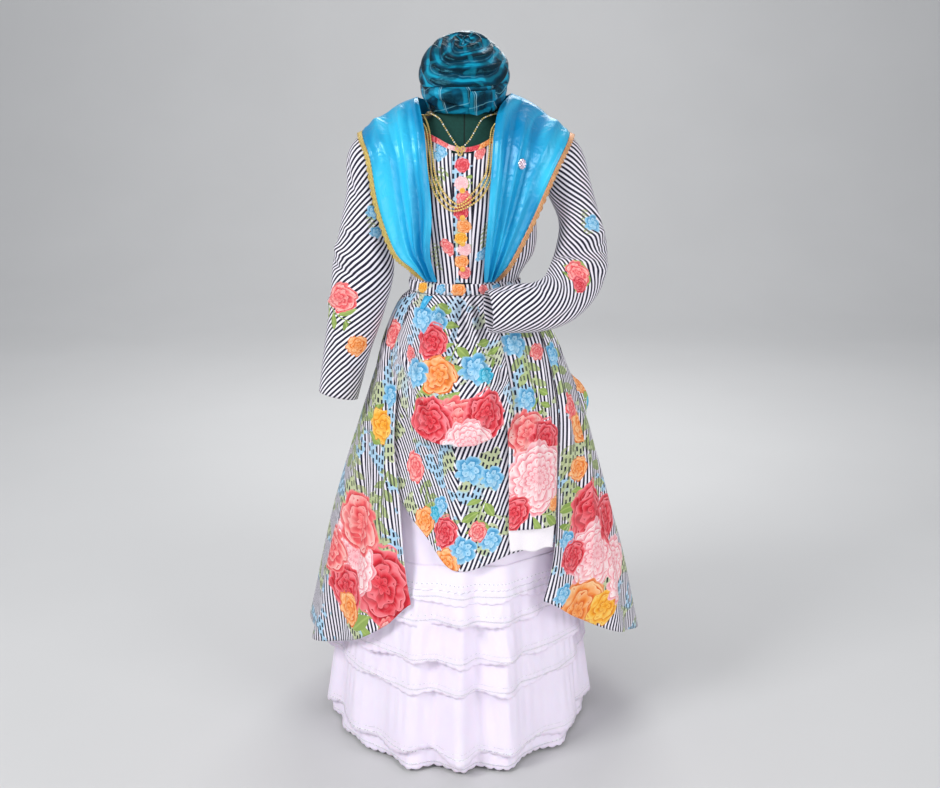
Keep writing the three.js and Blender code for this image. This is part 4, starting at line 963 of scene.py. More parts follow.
# Buttons: moulded horn-yellow buttons with a raised rim and four stitched holes.
horn = mottled("moulded polyester button", {"Roughness": 0.25, "Coat Weight": 0.4}, 300, "#E8961C",
               "#FFD15C", 3, 1.0)
BUTTON = {"radius": 6, "thick": 2.6, "rim": 1.4, "sunk": 0.7, "slope": 0.8, "edge": 0.3, "x": -4}
STITCH_HOLE = {"radius": 0.55, "out": 1.3}
for number, z in enumerate((1118, 1176, 1234, 1292), 1):
    bpy.ops.mesh.primitive_cylinder_add(vertices=32, radius=BUTTON["radius"] * MM,
                                        depth=BUTTON["thick"] * MM)
    button = bpy.context.object
    button.name = f"button_{number}_horn"
    for face in button.data.polygons:
        face.select = face.normal.z > 0.9
    bpy.ops.object.mode_set(mode="EDIT")
    bpy.ops.mesh.inset(thickness=BUTTON["rim"] * MM)
    bpy.ops.mesh.extrude_region_shrink_fatten(TRANSFORM_OT_shrink_fatten={"value": -BUTTON["sunk"] * MM})
    bpy.ops.mesh.inset(thickness=BUTTON["slope"] * MM)
    bpy.ops.mesh.select_all(action="DESELECT")
    bpy.ops.object.mode_set(mode="OBJECT")
    shaped(button, "BEVEL", width=BUTTON["edge"] * MM, segments=2)
    for x, y in ((-1, -1), (-1, 1), (1, -1), (1, 1)):
        beside = STITCH_HOLE["out"] * MM
        bpy.ops.mesh.primitive_cylinder_add(vertices=10, radius=STITCH_HOLE["radius"] * MM, depth=4 * MM,
                                            location=(x * beside, y * beside, MM))
        punch = bpy.context.object
        shaped(button, "BOOLEAN", operation="DIFFERENCE", object=punch)
        bpy.data.objects.remove(punch)
    above, seat, below = [front_of(BUTTON["x"], z + step, BAND_OUT) for step in (8, 0, -8)]
    lean = math.atan2(below[1] - above[1], 16 * MM)
    button.rotation_euler = (math.pi / 2 + lean, 0, 0)
    button.location = (seat[0], seat[1] - (BUTTON["thick"] / 2 + 0.55) * MM, z * MM)
    button.select_set(True)
    bpy.ops.object.transform_apply()
    bpy.ops.object.shade_smooth_by_angle(angle=math.radians(40))
    button.select_set(False)
    button.data.materials.append(horn)
    sewn(button, f"button_{number}")

# ---- Sleeves: long cotton sleeves, cut on the cross so that the stripes run slanting, and set into the
# armholes. They are empty: the right one hangs, and the left one is bent with its cuff at the waist.
SLEEVES = {
    # centre x, y, z, half width across the bend, half depth
    "right": [
        (-204, 2, 1355, 54, 56),
        (-216, -1, 1275, 50, 54),
        (-226, -8, 1190, 58, 55),
        (-231, -16, 1110, 70, 56),
        (-245, -26, 1030, 64, 54),
        (-270, -36, 930, 54, 48),
        (-295, -44, 815, 46, 42),
    ],
    "left": [
        (206, 2, 1355, 54, 56),
        (234, -2, 1290, 50, 54),
        (257, -8, 1225, 46, 52),
        (265, -22, 1162, 57, 52),
        (254, -48, 1102, 64, 49),
        (216, -88, 1056, 60, 45),
        (165, -122, 1040, 56, 41),
        (110, -145, 1040, 54, 38),
        (52, -161, 1036, 47, 36),
    ],
}


def through(points, share):
    """Place on a centripetal Catmull-Rom curve through points, at a share from 0 to 1."""
    p = np.array(points, float)
    p = np.vstack([2 * p[0] - p[1], p, 2 * p[-1] - p[-2]])
    at = share * (len(p) - 3)
    i = min(int(at), len(p) - 4)
    w = at - i
    gaps = [max(np.sum((p[i + k + 1] - p[i + k]) ** 2) ** 0.25, 1e-6) for k in range(3)]
    first = ((p[i + 1] - p[i]) / gaps[0] - (p[i + 2] - p[i]) / (gaps[0] + gaps[1])
             + (p[i + 2] - p[i + 1]) / gaps[1]) * gaps[1]
    last = ((p[i + 2] - p[i + 1]) / gaps[1] - (p[i + 3] - p[i + 1]) / (gaps[1] + gaps[2])
            + (p[i + 3] - p[i + 2]) / gaps[2]) * gaps[1]
    start, end = p[i + 1], p[i + 2]
    return (start + first * w + (-3 * start + 3 * end - 2 * first - last) * w**2
            + (2 * start - 2 * end + first + last) * w**3)


def ring_round(centre, along, across, deep, turns):
    """Ring of a sleeve, square to the way that the arm runs."""
    side = np.array([-along[2], 0, along[0]])
    side /= np.linalg.norm(side)
    depth = np.cross(along, side)
    depth /= np.linalg.norm(depth)
    return centre + np.outer(across * np.cos(turns), side) - np.outer(deep * np.sin(turns), depth)


SLEEVE_CREASES = {
    # across, down, across, down, half width, height; across from the inner side, back round the sleeve
    "right": [(-160, 250, -60, 300, 9, 8), (-160, 290, -70, 330, 8, -8), (-130, 210, -40, 240, 7, 7),
              (-50, 330, -170, 400, 10, 8), (-90, 100, -50, 200, 9, 4), (-150, 60, -110, 150, 9, -4),
              (-60, 50, -40, 150, 8, 3), (-120, 450, -60, 540, 9, 4), (-250, 280, -180, 320, 8, 4)],
    "left": [(-20, 230, -120, 262, 9, 9), (-10, 270, -140, 290, 9, -9), (-20, 310, -140, 322, 9, 9),
             (-60, 300, -150, 350, 8, 8), (-10, 250, -90, 276, 6, -5), (-10, 296, -110, 306, 6, 5),
             (-110, 60, -60, 160, 9, 4), (-60, 360, -50, 470, 9, -4),
             (-120, 380, -100, 520, 9, 4), (-60, 140, -20, 220, 8, 4), (-150, 430, -150, 560, 8, -4)],
}
SLEEVE_PRINT = {
    "right": [("coral", -116, 372, 36, 20), ("leaf", -150, 390, 70, 20), ("blue", -64, 168, 18, 0),
              ("blue", -56, 214, 15, 0), ("olive", -66, 150, 60, 80), ("orange", -60, 470, 26, 0),
              ("blue", -230, 220, 26, 0), ("coral", -200, 420, 40, 0), ("leaf", -240, 380, 80, 40)],
    "left": [("blue", -56, 215, 22, 0), ("olive", -66, 180, 60, 90), ("coral", -92, 350, 28, 0),
             ("red", -80, 368, 18, 0), ("leaf", -70, 330, 60, 120), ("coral", -230, 120, 40, 0),
             ("orange", -200, 300, 34, 0), ("blue", -240, 420, 26, 0)],
}
GIRTH = 2 * math.pi * 53   # round the upper arm
for side, table in SLEEVES.items():
    hand = 1 if side == "left" else -1
    centres = [(hand * 158, ARMHOLE["y"], ARMHOLE["z"])] + [row[:3] for row in table]
    sizes = [(number / len(table), row[3], row[4]) for number, row in enumerate(table, 1)]
    turns = np.linspace(0, 2 * math.pi, 101)
    hole = ring_round(np.array([0, ARMHOLE["y"], ARMHOLE["z"]]), np.array([hand, 0.0, 0.0]), ARMHOLE["high"],
                      ARMHOLE["deep"], turns)
    half, front, back = [read(FORM, hole[:, 2], k) + BODICE_OUT + 0.9 for k in (1, 2, 3)]
    depth = np.where(hole[:, 1] < 0, front, back)
    hole[:, 0] = hand * (half * np.sqrt(1 - (hole[:, 1] / depth) ** 2) + 1.4)
    hole[:, 2] = lifted(hole[:, 2], BODICE_OUT + 0.9)
    rows, middles = [], []
    for share in np.linspace(0, 1, 111):
        held = max(share, 1 / len(table))
        along = through(centres, min(1, held + 0.002)) - through(centres, held - 0.002)
        ring = ring_round(through(centres, held), along / np.linalg.norm(along),
                          float(read(sizes, held, 1)), float(read(sizes, held, 2)), turns)
        rows.append(mix(hole, ring, min(1, share * len(table))))
        middles.append(through(centres, share))
    # The cloth is laid out along the arm, so that its stripes close up inside the bend.
    down = np.pad(np.cumsum(np.linalg.norm(np.diff(middles, axis=0), axis=1)), (1, 0))
    lie = np.stack(np.broadcast_arrays((turns / turns[-1] - 1) * GIRTH, down[:, None]), -1) * MM
    points = creased(np.array(rows) * MM, SLEEVE_CREASES[side], ring=True, lie=lie)
    finish = printed(f"printed cotton, {side} sleeve", SLEEVE_PRINT[side], lean=hand * 38)
    sleeve = cloth(f"sleeve_{side}_cotton", points, [finish], COTTON, 100, ring=True, lie=lie)
    halves = "sleeve_left_upper sleeve_left_lower" if side == "left" else "sleeve_right"
    sewn(sleeve, halves)

# ---- Foulard: a large square of blue satin folded on the cross, laid round the shoulders in long folds and
# tucked in at the waist. Its outer edges carry a narrow gold lace.
satin, tree, shader = material("polyester satin, bright blue", {
    "Roughness": 0.32, "Specular IOR Level": 1.0, "Anisotropic": 0.4, "Sheen Weight": 0.25,
    "Sheen Roughness": 0.3})
shader.inputs["Specular Tint"].default_value = linear("#BDEBFF")
shader.inputs["Sheen Tint"].default_value = linear("#7FDCFF")
lie = node(tree, "UVMap", uv_map="cloth")
grain = node(tree, "Mapping", {"Vector": lie, "Scale": (9, 2.2, 1), "Rotation": (0, 0, 0.25)})
# Painted highlight: long paler cyan streaks along the grain, standing for the light that the satin catches,
# mixed into its blue.
painted_sheen = node(tree, "TexNoise", {"Vector": grain, "Scale": 1.0, "Detail": 3, "Distortion": 0.8})
tone = node(tree, "MapRange", {"Value": painted_sheen, "From Min": 0.36, "From Max": 0.66},
            interpolation_type="SMOOTHSTEP")
shade = node(tree, "MixRGB", [tone, linear("#008CC4"), linear("#35CDF6")])
WARP_MM = 1.4              # drawn ten times as coarse as the satin's warp, so that it shows
warp = node(tree, "Mapping", {"Vector": lie, "Scale": (1, 0.12, 1)})
thread = node(tree, "TexNoise", {"Vector": warp, "Scale": 1000 / WARP_MM, "Detail": 1})
soft = node(tree, "TexNoise", {"Vector": lie, "Scale": 26, "Detail": 2, "Distortion": 1.2})
height = node(tree, "Math", [soft, 9.0, thread], operation="MULTIPLY_ADD")
surfaced(tree, shader, shade, height, 0.45)

FOULARD = {
    # inner x, y, z, outer x, y, z, swell, from the tuck at the waist over the shoulder
    "right": [
        (-62, -76.5, 1087, -88, -63.3, 1087, 1),
        (-70, -96, 1118, -116, -80, 1116, 6),
        (-76, -108, 1160, -153, -84, 1154, 12),
        (-71, -120, 1242, -187, -84, 1251, 15),
        (-80, -112, 1350, -204, -78, 1354, 13),
        (-86, -88, 1415, -220, -48, 1394, 9),
        (-97, -35, 1464, -227, 0, 1412, 7),
        (-104, 12, 1484, -221, 42, 1402, 0),
    ],
    "left": [
        (44, -82.1, 1087, 66, -74.9, 1087, 1),
        (44, -96, 1112, 84, -84, 1108, 6),
        (45, -106, 1145, 104, -90, 1138, 10),
        (52, -122, 1235, 147, -92, 1225, 14),
        (58, -116, 1330, 190, -82, 1322, 14),
        (64, -92, 1412, 222, -52, 1384, 10),
        (76, -42, 1462, 234, 0, 1408, 7),
        (104, 14, 1492, 228, 42, 1400, 0),
    ],
}
FOULARD_FOLDS = {
    # share across at the shoulder and at the tuck, half width, height, and the shares up where it runs
    "right": [(0.07, 0.11, 0.055, 6, 0.0, 1.0), (0.20, 0.26, 0.05, -7, 0.0, 0.95),
              (0.34, 0.40, 0.07, 10, 0.0, 0.98), (0.50, 0.56, 0.055, -6, 0.0, 0.72),
              (0.66, 0.70, 0.07, 7, 0.0, 0.66), (0.56, 0.44, 0.07, -7, 0.55, 1.0),
              (0.78, 0.62, 0.09, 9, 0.5, 1.0)],
    "left": [(0.08, 0.12, 0.055, 6, 0.0, 1.0), (0.22, 0.28, 0.05, -7, 0.0, 1.0),
             (0.36, 0.42, 0.07, 10, 0.0, 0.92), (0.52, 0.60, 0.055, -6, 0.0, 0.7),
             (0.70, 0.76, 0.07, 7, 0.0, 0.6), (0.58, 0.44, 0.06, -7, 0.62, 1.0),
             (0.80, 0.62, 0.09, 10, 0.5, 1.0)],
}
SHOULDER = 15              # how far the satin stands up in a soft roll over each shoulder
SATIN = 1.0                # wall of the satin


def foulard_at(table, v, u, out=0.0):
    """Points of one front of the foulard; v runs up from the tuck and u out from the inner edge."""
    indexed = [(i, *row) for i, row in enumerate(table)]
    top = len(table) - 1
    now, later, sooner = [np.stack([read(indexed, at * top, k) for k in range(1, 8)], -1)
                          for at in (v, np.minimum(1, v + 0.02), np.maximum(0, v - 0.02))]
    inner, outer = now[..., 0:3], now[..., 3:6]
    across = outer - inner
    face = np.cross((later - sooner)[..., 0:3], across) * np.sign(across[..., :1])
    face /= np.linalg.norm(face, axis=-1, keepdims=True)
    swell = now[..., 6] * np.sin(math.pi * u) + out
    lift = SHOULDER * np.sin(math.pi * u) * ease((v - 0.7) / 0.3)
    return (inner + across * u[..., None] + face * swell[..., None] + lift[..., None] * (0, 0, 1)) * MM


# Gold lace: a narrow scalloped edging of metal thread, sewn flat under the outer edge.
def thread_lace(name, pale, deep):
    """Lace of twisted thread: small meshes between thick and thin threads."""
    made, tree, shader = material(name, {"Metallic": 0.35, "Roughness": 0.42})
    lie = node(tree, "UVMap", uv_map="cloth")
    laid = node(tree, "VectorMath", {0: lie, "Scale": 1 / MM}, operation="SCALE")
    LOOP_MM = 3.2
    loops = node(tree, "TexVoronoi", {"Vector": laid, "Scale": 1 / LOOP_MM, "Randomness": 0.25},
                 feature="DISTANCE_TO_EDGE", voronoi_dimensions="2D")
    # The open middles of the meshes are painted in the deep colour, as painted shade in the holes; the
    # threads are in the pale one.
    hollow = node(tree, "MapRange", {"Value": loops, "From Min": 0.14, "From Max": 0.26})
    shade = node(tree, "MixRGB", [hollow, linear(pale), linear(deep)])
    twist = node(tree, "TexNoise", {"Vector": laid, "Scale": 1.4, "Detail": 2})
    raised = node(tree, "Math", [1.0, hollow], operation="SUBTRACT")
    height = node(tree, "Math", [twist, 0.5, raised], operation="MULTIPLY_ADD")
    surfaced(tree, shader, shade, height, 0.9, 1)
    return made


LACES = {"right": thread_lace("gold thread lace", "#FFE489", "#D09A26"),
         "left": thread_lace("gold and coral thread lace", "#F7C58A", "#D2603A")}
LACE = {"wall": 0.8, "width": 12, "scallops": 44}
for side, table in FOULARD.items():
    v, u = shares(120, 84)
    up, out = 1 - v, (1 - u if side == "right" else u)
    folds = np.zeros(v.shape)
    for top, foot, width, height, begins, finishes in FOULARD_FOLDS[side]:
        spread = ease((up - begins) / 0.16 + (begins < 0.01)) * ease((finishes - up) / 0.16)
        fold = height * np.exp(-(((out - mix(foot, top, up)) / width) ** 2))
        folds += fold * spread * ease(up / 0.07 + 0.25)
    rim = ease(out / 0.06) * ease((1 - out) / 0.06) * ease((1 - up) / 0.05)
    points = pushed(foulard_at(table, up, out, 0.8), (np.maximum(folds, -4.5) + 4) * rim)
    front = cloth(f"foulard_{side}_satin", points, [satin], SATIN, 84 if side == "right" else 0)
    pinned = points            # the brooch is pinned to the last of the two, the left one
    v, u = shares(360, 5)
    out = 1 - u if side == "right" else u
    edge = foulard_at(table, 1 - v, np.ones(v.shape))
    away = edge - foulard_at(table, 1 - v, np.full(v.shape, 0.9))
    away /= np.linalg.norm(away, axis=2, keepdims=True)
    reach = LACE["width"] * (0.7 + 0.3 * np.abs(np.sin(math.pi * LACE["scallops"] * v)))
    strip = edge + away * mix(0.3, reach, out)[..., None] * MM
    trim = cloth(f"foulard_lace_{side}_thread", strip, [LACES[side]], LACE["wall"])
    sewn(front, f"foulard_{side}_front")
    sewn(trim, f"foulard_lace_{side}")

# Back of the foulard: the two sides meet over the neck and hang to a point.
left, right = [np.array(FOULARD[side][-1]) for side in ("left", "right")]
step_back = (0, 1.6, -0.3)
neck = [left[0:3] + step_back, (88, 68, 1484), (2, 105, 1464), (-88, 68, 1478), right[0:3] + step_back]
hem = [left[3:6] + step_back, (204, 84, 1345), (118, 116, 1205), (4, 126, 1078), (-112, 116, 1205),
       (-200, 84, 1345), right[3:6] + step_back]
v, u = shares(90, 150)
neck_line = np.array([through(neck, share) for share in u[0]])
hem_line = np.array([through(hem, share) for share in u[0]])
points = (neck_line + (hem_line - neck_line) * v[..., None]) * MM
points[..., 1] += 13 * MM * np.sin(math.pi * v) * np.sin(math.pi * u)
points[..., 2] += SHOULDER * MM * np.sin(math.pi * v) * (1 - ease(np.minimum(u, 1 - u) / 0.24))
BACK_CREASES = [(-4, 60, 0, 360, 13, 5), (-90, 30, -34, 300, 13, -5), (90, 30, 40, 300, 13, -5),
                (-150, 40, -80, 240, 12, 5), (150, 40, 84, 250, 12, 5), (-190, 60, -140, 190, 10, -4),
                (200, 60, 150, 200, 10, -4)]
points = creased(points, BACK_CREASES, 75)
back = cloth("foulard_back_satin", points, [satin], SATIN, 75)
sewn(back, "foulard_back")

# End of the foulard: its tip, folded small, shows under the waist casing.
v, u = shares(16, 16)
points = skirt_at(mix(-43 + 3 * v, -33 - 2 * v, u), mix(1054, 1026, v), 4.6 + 1.2 * np.sin(9 * u) * v)
end = cloth("foulard_end_satin", points, [satin], SATIN)
sewn(end, "foulard_end")

# ---- Headwrap: one long madras cloth, folded to a band and wound round the head of the form from its foot
# up. Its last turns are swirled over the brow and the crown, and its end is tucked in at the side.
WRAP_CENTRE = (-1, 6)
WRAP_WALLS = {"turn": 3, "crown": 2.5, "tail": 1.6}        # each of several folded layers
WRAP_FOOT = 1449
WRAP_OUTLINE = [(WRAP_FOOT, 70), (1462, 80), (1480, 89), (1505, 95), (1532, 97), (1556, 92), (1578, 80),
                (1597, 60), (1612, 34)]      # z, radius
SWIRL = {"centre": (-1, 6, 1530), "towards": (-0.02, -0.60, 0.80), "fold": 18.0, "height": 8.5}
# Bars of the plaid on the swirl. Those across the folds keep step with them: the wide navy bar lies in each
# trough as painted shade, and the turquoise bar near each crest as painted highlight.
SWIRL_BARS_AND_PAINTED_LIGHT = [
    # axis, middle of the bar, half width as shares of the repeat, strength, colour
    (1, 0.82, 0.08, 0.8, "#17A9CC"),
    (1, 0.24, 0.17, 0.93, "#010B18"),
    (1, 0.56, 0.012, 0.25, "#9BDCE8"),
    (0, 0.62, 0.16, 0.62, "#020E1C"),
    (0, 0.2, 0.07, 0.3, "#12A3C4"),
]
FLAT_BARS = [
    (0, 0.62, 0.15, 0.8, "#020C1C"),
    (1, 0.62, 0.15, 0.8, "#020C1C"),
    (0, 0.16, 0.08, 0.5, "#129FC6"),
    (1, 0.16, 0.08, 0.5, "#129FC6"),
    (0, 0.36, 0.006, 0.5, "#B9E4EE"),
    (1, 0.88, 0.006, 0.4, "#8FD8E4"),
    (0, 0.3, 0.004, 0.4, "#8FD8E4"),
]
swirl_axis = np.array(SWIRL["towards"]) / np.linalg.norm(SWIRL["towards"])
swirl_right = np.cross((0, -1, 0), swirl_axis)
swirl_right /= np.linalg.norm(swirl_right)
swirl_lift = np.cross(swirl_axis, swirl_right)


def swirl_way(tree):
    """Way that the plaid lies on the swirl, one repeat to each fold, in step with the folds that wound()
    raises.
    """
    place = node(tree, "TexCoord").outputs["Object"]
    ray = node(tree, "VectorMath", {0: place, 1: [-c * MM for c in SWIRL["centre"]]}, operation="ADD")
    ray = node(tree, "VectorMath", [ray], operation="NORMALIZE")
    ahead, right, lift = [
        node(tree, "VectorMath", {0: ray, 1: tuple(axis)}, operation="DOT_PRODUCT").outputs["Value"]
        for axis in (swirl_axis, swirl_right, swirl_lift)]
    away = node(tree, "Math", [ahead], operation="ARCCOSINE")
    turn = node(tree, "Math", [lift, right], operation="ARCTAN2")
    away = node(tree, "Math", [away, 180 / math.pi / SWIRL["fold"]], operation="MULTIPLY")
    sway = node(tree, "Math", [away, SWIRL["fold"] / 19], operation="MULTIPLY")
    sway = node(tree, "Math", [turn, 3.0, sway], operation="MULTIPLY_ADD")
    sway = node(tree, "Math", [sway], operation="SINE")
    phase = node(tree, "Math", [turn, -0.5 / math.pi, away], operation="MULTIPLY_ADD")
    phase = node(tree, "Math", [sway, 0.16, phase], operation="MULTIPLY_ADD")
    along = node(tree, "Math", [turn, 2.5 / math.pi], operation="MULTIPLY")
    laid = node(tree, "CombineXYZ", [along, node(tree, "Math", [phase, 0.2], operation="ADD")])
    drag = node(tree, "TexNoise", {"Vector": place, "Scale": 22, "Detail": 1}).outputs["Color"]
    drag = node(tree, "VectorMath", {0: drag, 1: (1.4, 0.8, 0)}, operation="MULTIPLY")
    return place, node(tree, "VectorMath", [laid, drag], operation="ADD")


def madras(name, lean=None):
    """Madras: teal and navy plaid, crossed by fine white and turquoise lines, glazed to a shine."""
    made, tree, shader = material(name, {"Roughness": 0.27, "Specular IOR Level": 0.6})
    shader.inputs["Specular Tint"].default_value = linear("#5FD2F0")
    if lean is None:
        place, laid = swirl_way(tree)
    else:
        REPEAT_MM = 58
        place = node(tree, "UVMap", uv_map="cloth")
        flat = node(tree, "VectorMath", {0: place, "Scale": 1 / MM}, operation="SCALE")
        laid = node(tree, "Mapping", {"Vector": flat, "Rotation": (0, 0, math.radians(lean))})
        drag = node(tree, "TexNoise", {"Vector": flat, "Scale": 0.02, "Detail": 1}).outputs["Color"]
        drag = node(tree, "VectorMath", {0: drag, "Scale": 26}, operation="SCALE")
        laid = node(tree, "VectorMath", [laid, drag], operation="ADD")
        laid = node(tree, "VectorMath", {0: laid, "Scale": 1 / REPEAT_MM}, operation="SCALE")
    axes = node(tree, "SeparateXYZ", [laid])
    shade = linear("#04506F")
    tones = [node(tree, "Math", [axes.outputs[axis]], operation="FRACT") for axis in (0, 1)]
    for axis, middle, half, strength, code in SWIRL_BARS_AND_PAINTED_LIGHT if lean is None else FLAT_BARS:
        away = node(tree, "Math", [tones[axis], middle], operation="SUBTRACT")
        away = node(tree, "Math", [away], operation="ABSOLUTE")
        bar = node(tree, "MapRange", {"Value": away, "From Min": half * 0.7, "From Max": half * 1.7 + 0.01,
                                      "To Min": strength, "To Max": 0}, interpolation_type="SMOOTHSTEP")
        shade = node(tree, "MixRGB", [bar, shade, linear(code)])
    thread = node(tree, "TexNoise", {"Vector": place, "Scale": 800, "Detail": 2})
    crush = node(tree, "TexNoise", {"Vector": place, "Scale": 50, "Detail": 2, "Distortion": 1.0})
    height = node(tree, "Math", [crush, 6.0, thread], operation="MULTIPLY_ADD")
    surfaced(tree, shader, shade, height)
    return made


def turn_of(angle, z, radius):
    """Points on a round turn of the cloth about the middle of the head."""
    return oval(angle, z, radius, radius, radius, radius) + np.array([*WRAP_CENTRE, 0]) * MM


def wrap_at(angle, z, out=0.0):
    """Points on the outside of the headwrap, whose turns lie a little tilted."""
    tilt = 7 * np.sin(np.radians(angle - 60)) * ease((z - 1460) / 40) * ease((1590 - z) / 40)
    return turn_of(angle, z + tilt, read(WRAP_OUTLINE, z, 1) + out)


def wound(points):
    """Height of the folds that wind out from the swirl on the brow of the headwrap, in millimetres."""
    ray = points / MM - SWIRL["centre"]
    ray /= np.linalg.norm(ray, axis=-1, keepdims=True)
    away = np.degrees(np.arccos(np.clip(ray @ swirl_axis, -1, 1)))
    round_it = np.arctan2(ray @ swirl_lift, ray @ swirl_right)
    phase = away / SWIRL["fold"] - round_it / (2 * math.pi) + 0.16 * np.sin(3 * round_it + away / 19)
    lap = phase % 1
    ridge = ease(np.minimum(lap / 0.72, (1 - lap) / 0.28))
    small = 0.9 * np.sin(away / 2.1 - 3 * round_it + 2 * np.sin(2 * round_it))
    large = SWIRL["height"] * (ridge - 0.6) * (1 + 0.3 * np.sin(2 * round_it + away / 31))
    calm = 1 - 0.55 * ease((away - 70) / 50)
    return (large + small * ridge) * calm


STRETCHES = [
    # name, top z, foot z, lean of the plaid
    ("headwrap_wrap_upper", 1591, 1556, None),
    ("headwrap_wrap_middle", 1555.4, 1512, None),
    ("headwrap_wrap_lower", 1511.4, WRAP_FOOT, 14),
]
for name, top, foot, lean in STRETCHES:
    v, u = shares(30, 200)
    # The lowest turn rises at the back, and its folds lie down towards its edge.
    lowest = foot == WRAP_FOOT
    rise = 5 * (1 + np.cos(u * 2 * math.pi)) if lowest else 0
    points = wrap_at(u * 360 - 180, mix(top, foot + rise, v))
    points = pushed(points, wound(points) * (ease((1 - v) * 5 + 0.3) if lowest else 1), ring=True)
    plaid = madras("madras cotton, " + name[9:], lean)
    stretch = cloth(name + "_madras", points, [plaid], WRAP_WALLS["turn"], 100, ring=True)
    sewn(stretch, name)

# Crown: the last turns of the cloth, gathered to the middle and closed.
v, u = shares(44, 160)
rim = float(read(WRAP_OUTLINE, 1591.4, 1))
radius = mix(1.0, rim, v)
DOME = [(0, 1621), (14, 1619.6), (32, 1613.6), (50, 1605), (rim, 1591.4)]
points = turn_of(u * 360 - 180, read(DOME, radius, 1), radius)
points = pushed(points, wound(points) * ease(v * 4), ring=True)
plaid = madras("madras cotton, crown")
crown = cloth("headwrap_crown_madras", points, [plaid], WRAP_WALLS["crown"], 80, ring=True)
sewn(crown, "headwrap_crown")

# Tail: the end of the cloth, folded flat over the lowest turn.
v, u = shares(30, 40)
points = wrap_at(mix(8, 44, u), mix(1502, 1446 + 10 * np.abs(u - 0.4), v), 2 * np.sin(math.pi * v) + 3.4)
points = creased(points, [(14, 0, 20, 60, 4, 1.6), (34, 0, 38, 60, 4, -1.4), (48, 0, 52, 60, 4, 1.4)])
tail = cloth("headwrap_tail_madras", points, [madras("madras cotton, tail", 12)], WRAP_WALLS["tail"])
sewn(tail, "headwrap_tail")

# ---- Gold chains: hollow gilt brass beads strung close, and white glass pearls in the short strand. It ends
# in a tangled knot, and the three long strands hang below it, one inside another.
gilt = mottled("gilt brass beads", {"Metallic": 0.8, "Roughness": 0.3}, 220, "#EDC252", "#FFEFAE")
pearl = mottled("white glass pearls", {"Roughness": 0.2, "Coat Weight": 0.5}, 180, "#F4E9DC", "#FFFFFF", 1)
# Routes of the strands in front, as x and z.
CHAIN_SHORT = [(-54, 1430), (-44, 1417), (-28, 1398), (-9, 1380), (10, 1393), (26, 1413), (40, 1430)]
CHAIN_LONG = [(-77, 1412), (-69, 1368), (-62, 1320), (-42, 1278), (-12, 1256), (18, 1280), (46, 1322),
              (54, 1370), (60, 1412)]
CHAIN = {"radius": 2.2, "space": 6.4, "step": 7, "lie": 7.55}
BEADS = {"short": (2.2, 5.4), "long": (2.8, 5.2), "knot": (2.2, 3.6)}     # radius, and from bead to bead
bpy.ops.mesh.primitive_ico_sphere_add(subdivisions=1, radius=1)
bead = bpy.context.object
bead_points = np.array([vertex.co for vertex in bead.data.vertices])
bead_faces = np.array([list(face.vertices) for face in bead.data.polygons])
bpy.data.objects.remove(bead)


def strung(name, route, radius, pitch, finishes):
    """Beads strung along a route in millimetres, and every third is of the second finish."""
    dense = np.array([through(route, share) for share in np.linspace(0, 1, 1200)])
    run = np.pad(np.cumsum(np.linalg.norm(np.diff(dense, axis=0), axis=1)), (1, 0))
    at = np.arange(pitch / 2, run[-1], pitch)
    middles = np.stack([np.interp(at, run, dense[:, k]) for k in range(3)], -1)
    points = (middles[:, None] + bead_points * radius) * MM
    faces = (np.arange(len(at))[:, None, None] * len(bead_points) + bead_faces).reshape(-1, 3)
    piece = new_piece(name, points, faces, finishes)
    piece.data.polygons.foreach_set("use_smooth", [True] * len(faces))
    if len(finishes) > 1:
        chosen = np.repeat((np.arange(len(at)) % 3 == 0).astype(int), len(bead_faces))
        piece.data.polygons.foreach_set("material_index", chosen)
    return piece


def loop(table, out, drop):
    """Route of a strand: in front as its table says, and round the back of the neck."""
    front = [front_of(x, z, out) / MM for x, z in table]
    side = [on_form(angle, 1438 - drop, out) / MM for angle in (70, 90, 115, 140, 160, 177)]
    mirrored = [point * (-1, 1, 1) for point in side]
    return [*mirrored[::-1], *front, *side]


short = strung("necklace_short_beads", loop(CHAIN_SHORT, CHAIN["lie"] + 1.9, -3), *BEADS["short"],
               [gilt, pearl])
sewn(short, "necklace_short")
for i in range(3):
    table = [(x + np.sign(x) * i * CHAIN["space"],
              z - CHAIN["step"] * (i - 1) * float(ease((1400 - z) / 120))) for x, z in CHAIN_LONG]
    route = loop(table, CHAIN["lie"] + CHAIN["radius"], 4 + i * CHAIN["space"])
    strand = strung(f"necklace_long_{i + 1}_beads", route, *BEADS["long"], [gilt])
    sewn(strand, f"necklace_long_{i + 1}")

# Knot: the short strand's ends tangled in front into a small tight knot of beads.
centre = front_of(-9, 1375, CHAIN["lie"] + 4.7) / MM
turns = np.linspace(0, 2 * math.pi, 40, endpoint=False)
tangle = np.stack([np.sin(turns) + 2 * np.sin(2 * turns), 0.55 * -np.sin(3 * turns),
                   np.cos(turns) - 2 * np.cos(2 * turns)], -1) * 3.6 + centre
knot = strung("necklace_knot_beads", tangle, *BEADS["knot"], [gilt])
sewn(knot, "necklace_knot")

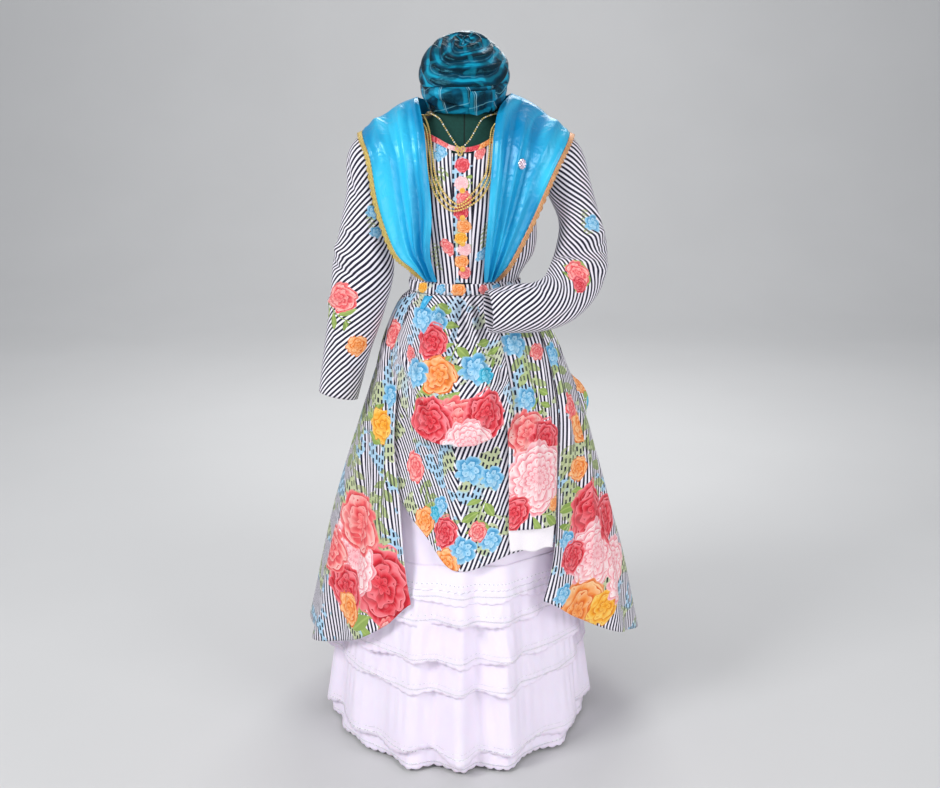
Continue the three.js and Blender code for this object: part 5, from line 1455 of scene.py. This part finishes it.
# ---- Brooch: a round silvered setting with a flower of cut crystals, in two rings about a middle one. It is
# pinned flat to the left front of the foulard.
silver = mottled("silvered brooch setting", {"Metallic": 1.0, "Roughness": 0.18}, 400, "#B9BCC4", "#F2F3F7")
crystal, tree, shader = material("cut crystal, rose tint", {"Roughness": 0.05, "Coat Weight": 1.0,
                                                            "Metallic": 0.25})
place = node(tree, "TexCoord").outputs["Object"]
glint = node(tree, "TexVoronoi", {"Vector": place, "Scale": 700})
surfaced(tree, shader, node(tree, "MixRGB", [glint, linear("#FFFFFF"), linear("#F3B7D4")]))
BROOCH = {"row": 47, "column": 39, "radius": 11.6, "thick": 2.2, "edge": 0.6, "out": 2.6}
STONES = [
    # how many, distance from the middle, radius, height
    (9, 8.2, 3.2, 1.4),
    (5, 3.8, 2.7, 2.4),
    (1, 0, 2.4, 3.6),
]
row, column = BROOCH["row"], BROOCH["column"]
seat, beside, above = pinned[row, column], pinned[row, column + 6], pinned[row - 6, column]
face = np.cross(beside - seat, above - seat)
face /= np.linalg.norm(face)
bpy.ops.mesh.primitive_cylinder_add(vertices=40, radius=BROOCH["radius"] * MM, depth=BROOCH["thick"] * MM)
setting = bpy.context.object
setting.name = "brooch_setting"
bpy.ops.object.mode_set(mode="EDIT")
bpy.ops.mesh.bevel(offset=BROOCH["edge"] * MM, segments=2)
bpy.ops.object.mode_set(mode="OBJECT")
setting.data.materials.append(silver)
setting.data.materials.append(crystal)
parts = [setting]
for count, away, size, lift in STONES:
    for k in range(count):
        turn = 2 * math.pi * k / count
        at = [away * MM * math.cos(turn), away * MM * math.sin(turn), lift * MM]
        bpy.ops.mesh.primitive_ico_sphere_add(subdivisions=1, radius=size * MM, rotation=(0, 0, turn),
                                              location=at)
        stone = bpy.context.object
        stone.scale = (1.15, 0.8, 0.6)
        stone.data.materials.append(silver)
        stone.data.materials.append(crystal)
        for facet in stone.data.polygons:
            facet.material_index = 1
        parts.append(stone)
bpy.ops.object.select_all(action="DESELECT")
for part in parts:
    part.select_set(True)
bpy.context.view_layer.objects.active = setting
bpy.ops.object.join()
bpy.ops.object.transform_apply()
tilt = Vector((0, 0, 1)).rotation_difference(Vector(face)).to_matrix().to_4x4()
tilt.translation = Vector(seat + face * BROOCH["out"] * MM)
setting.data.transform(tilt)
setting.select_set(False)
sewn(setting, "brooch")
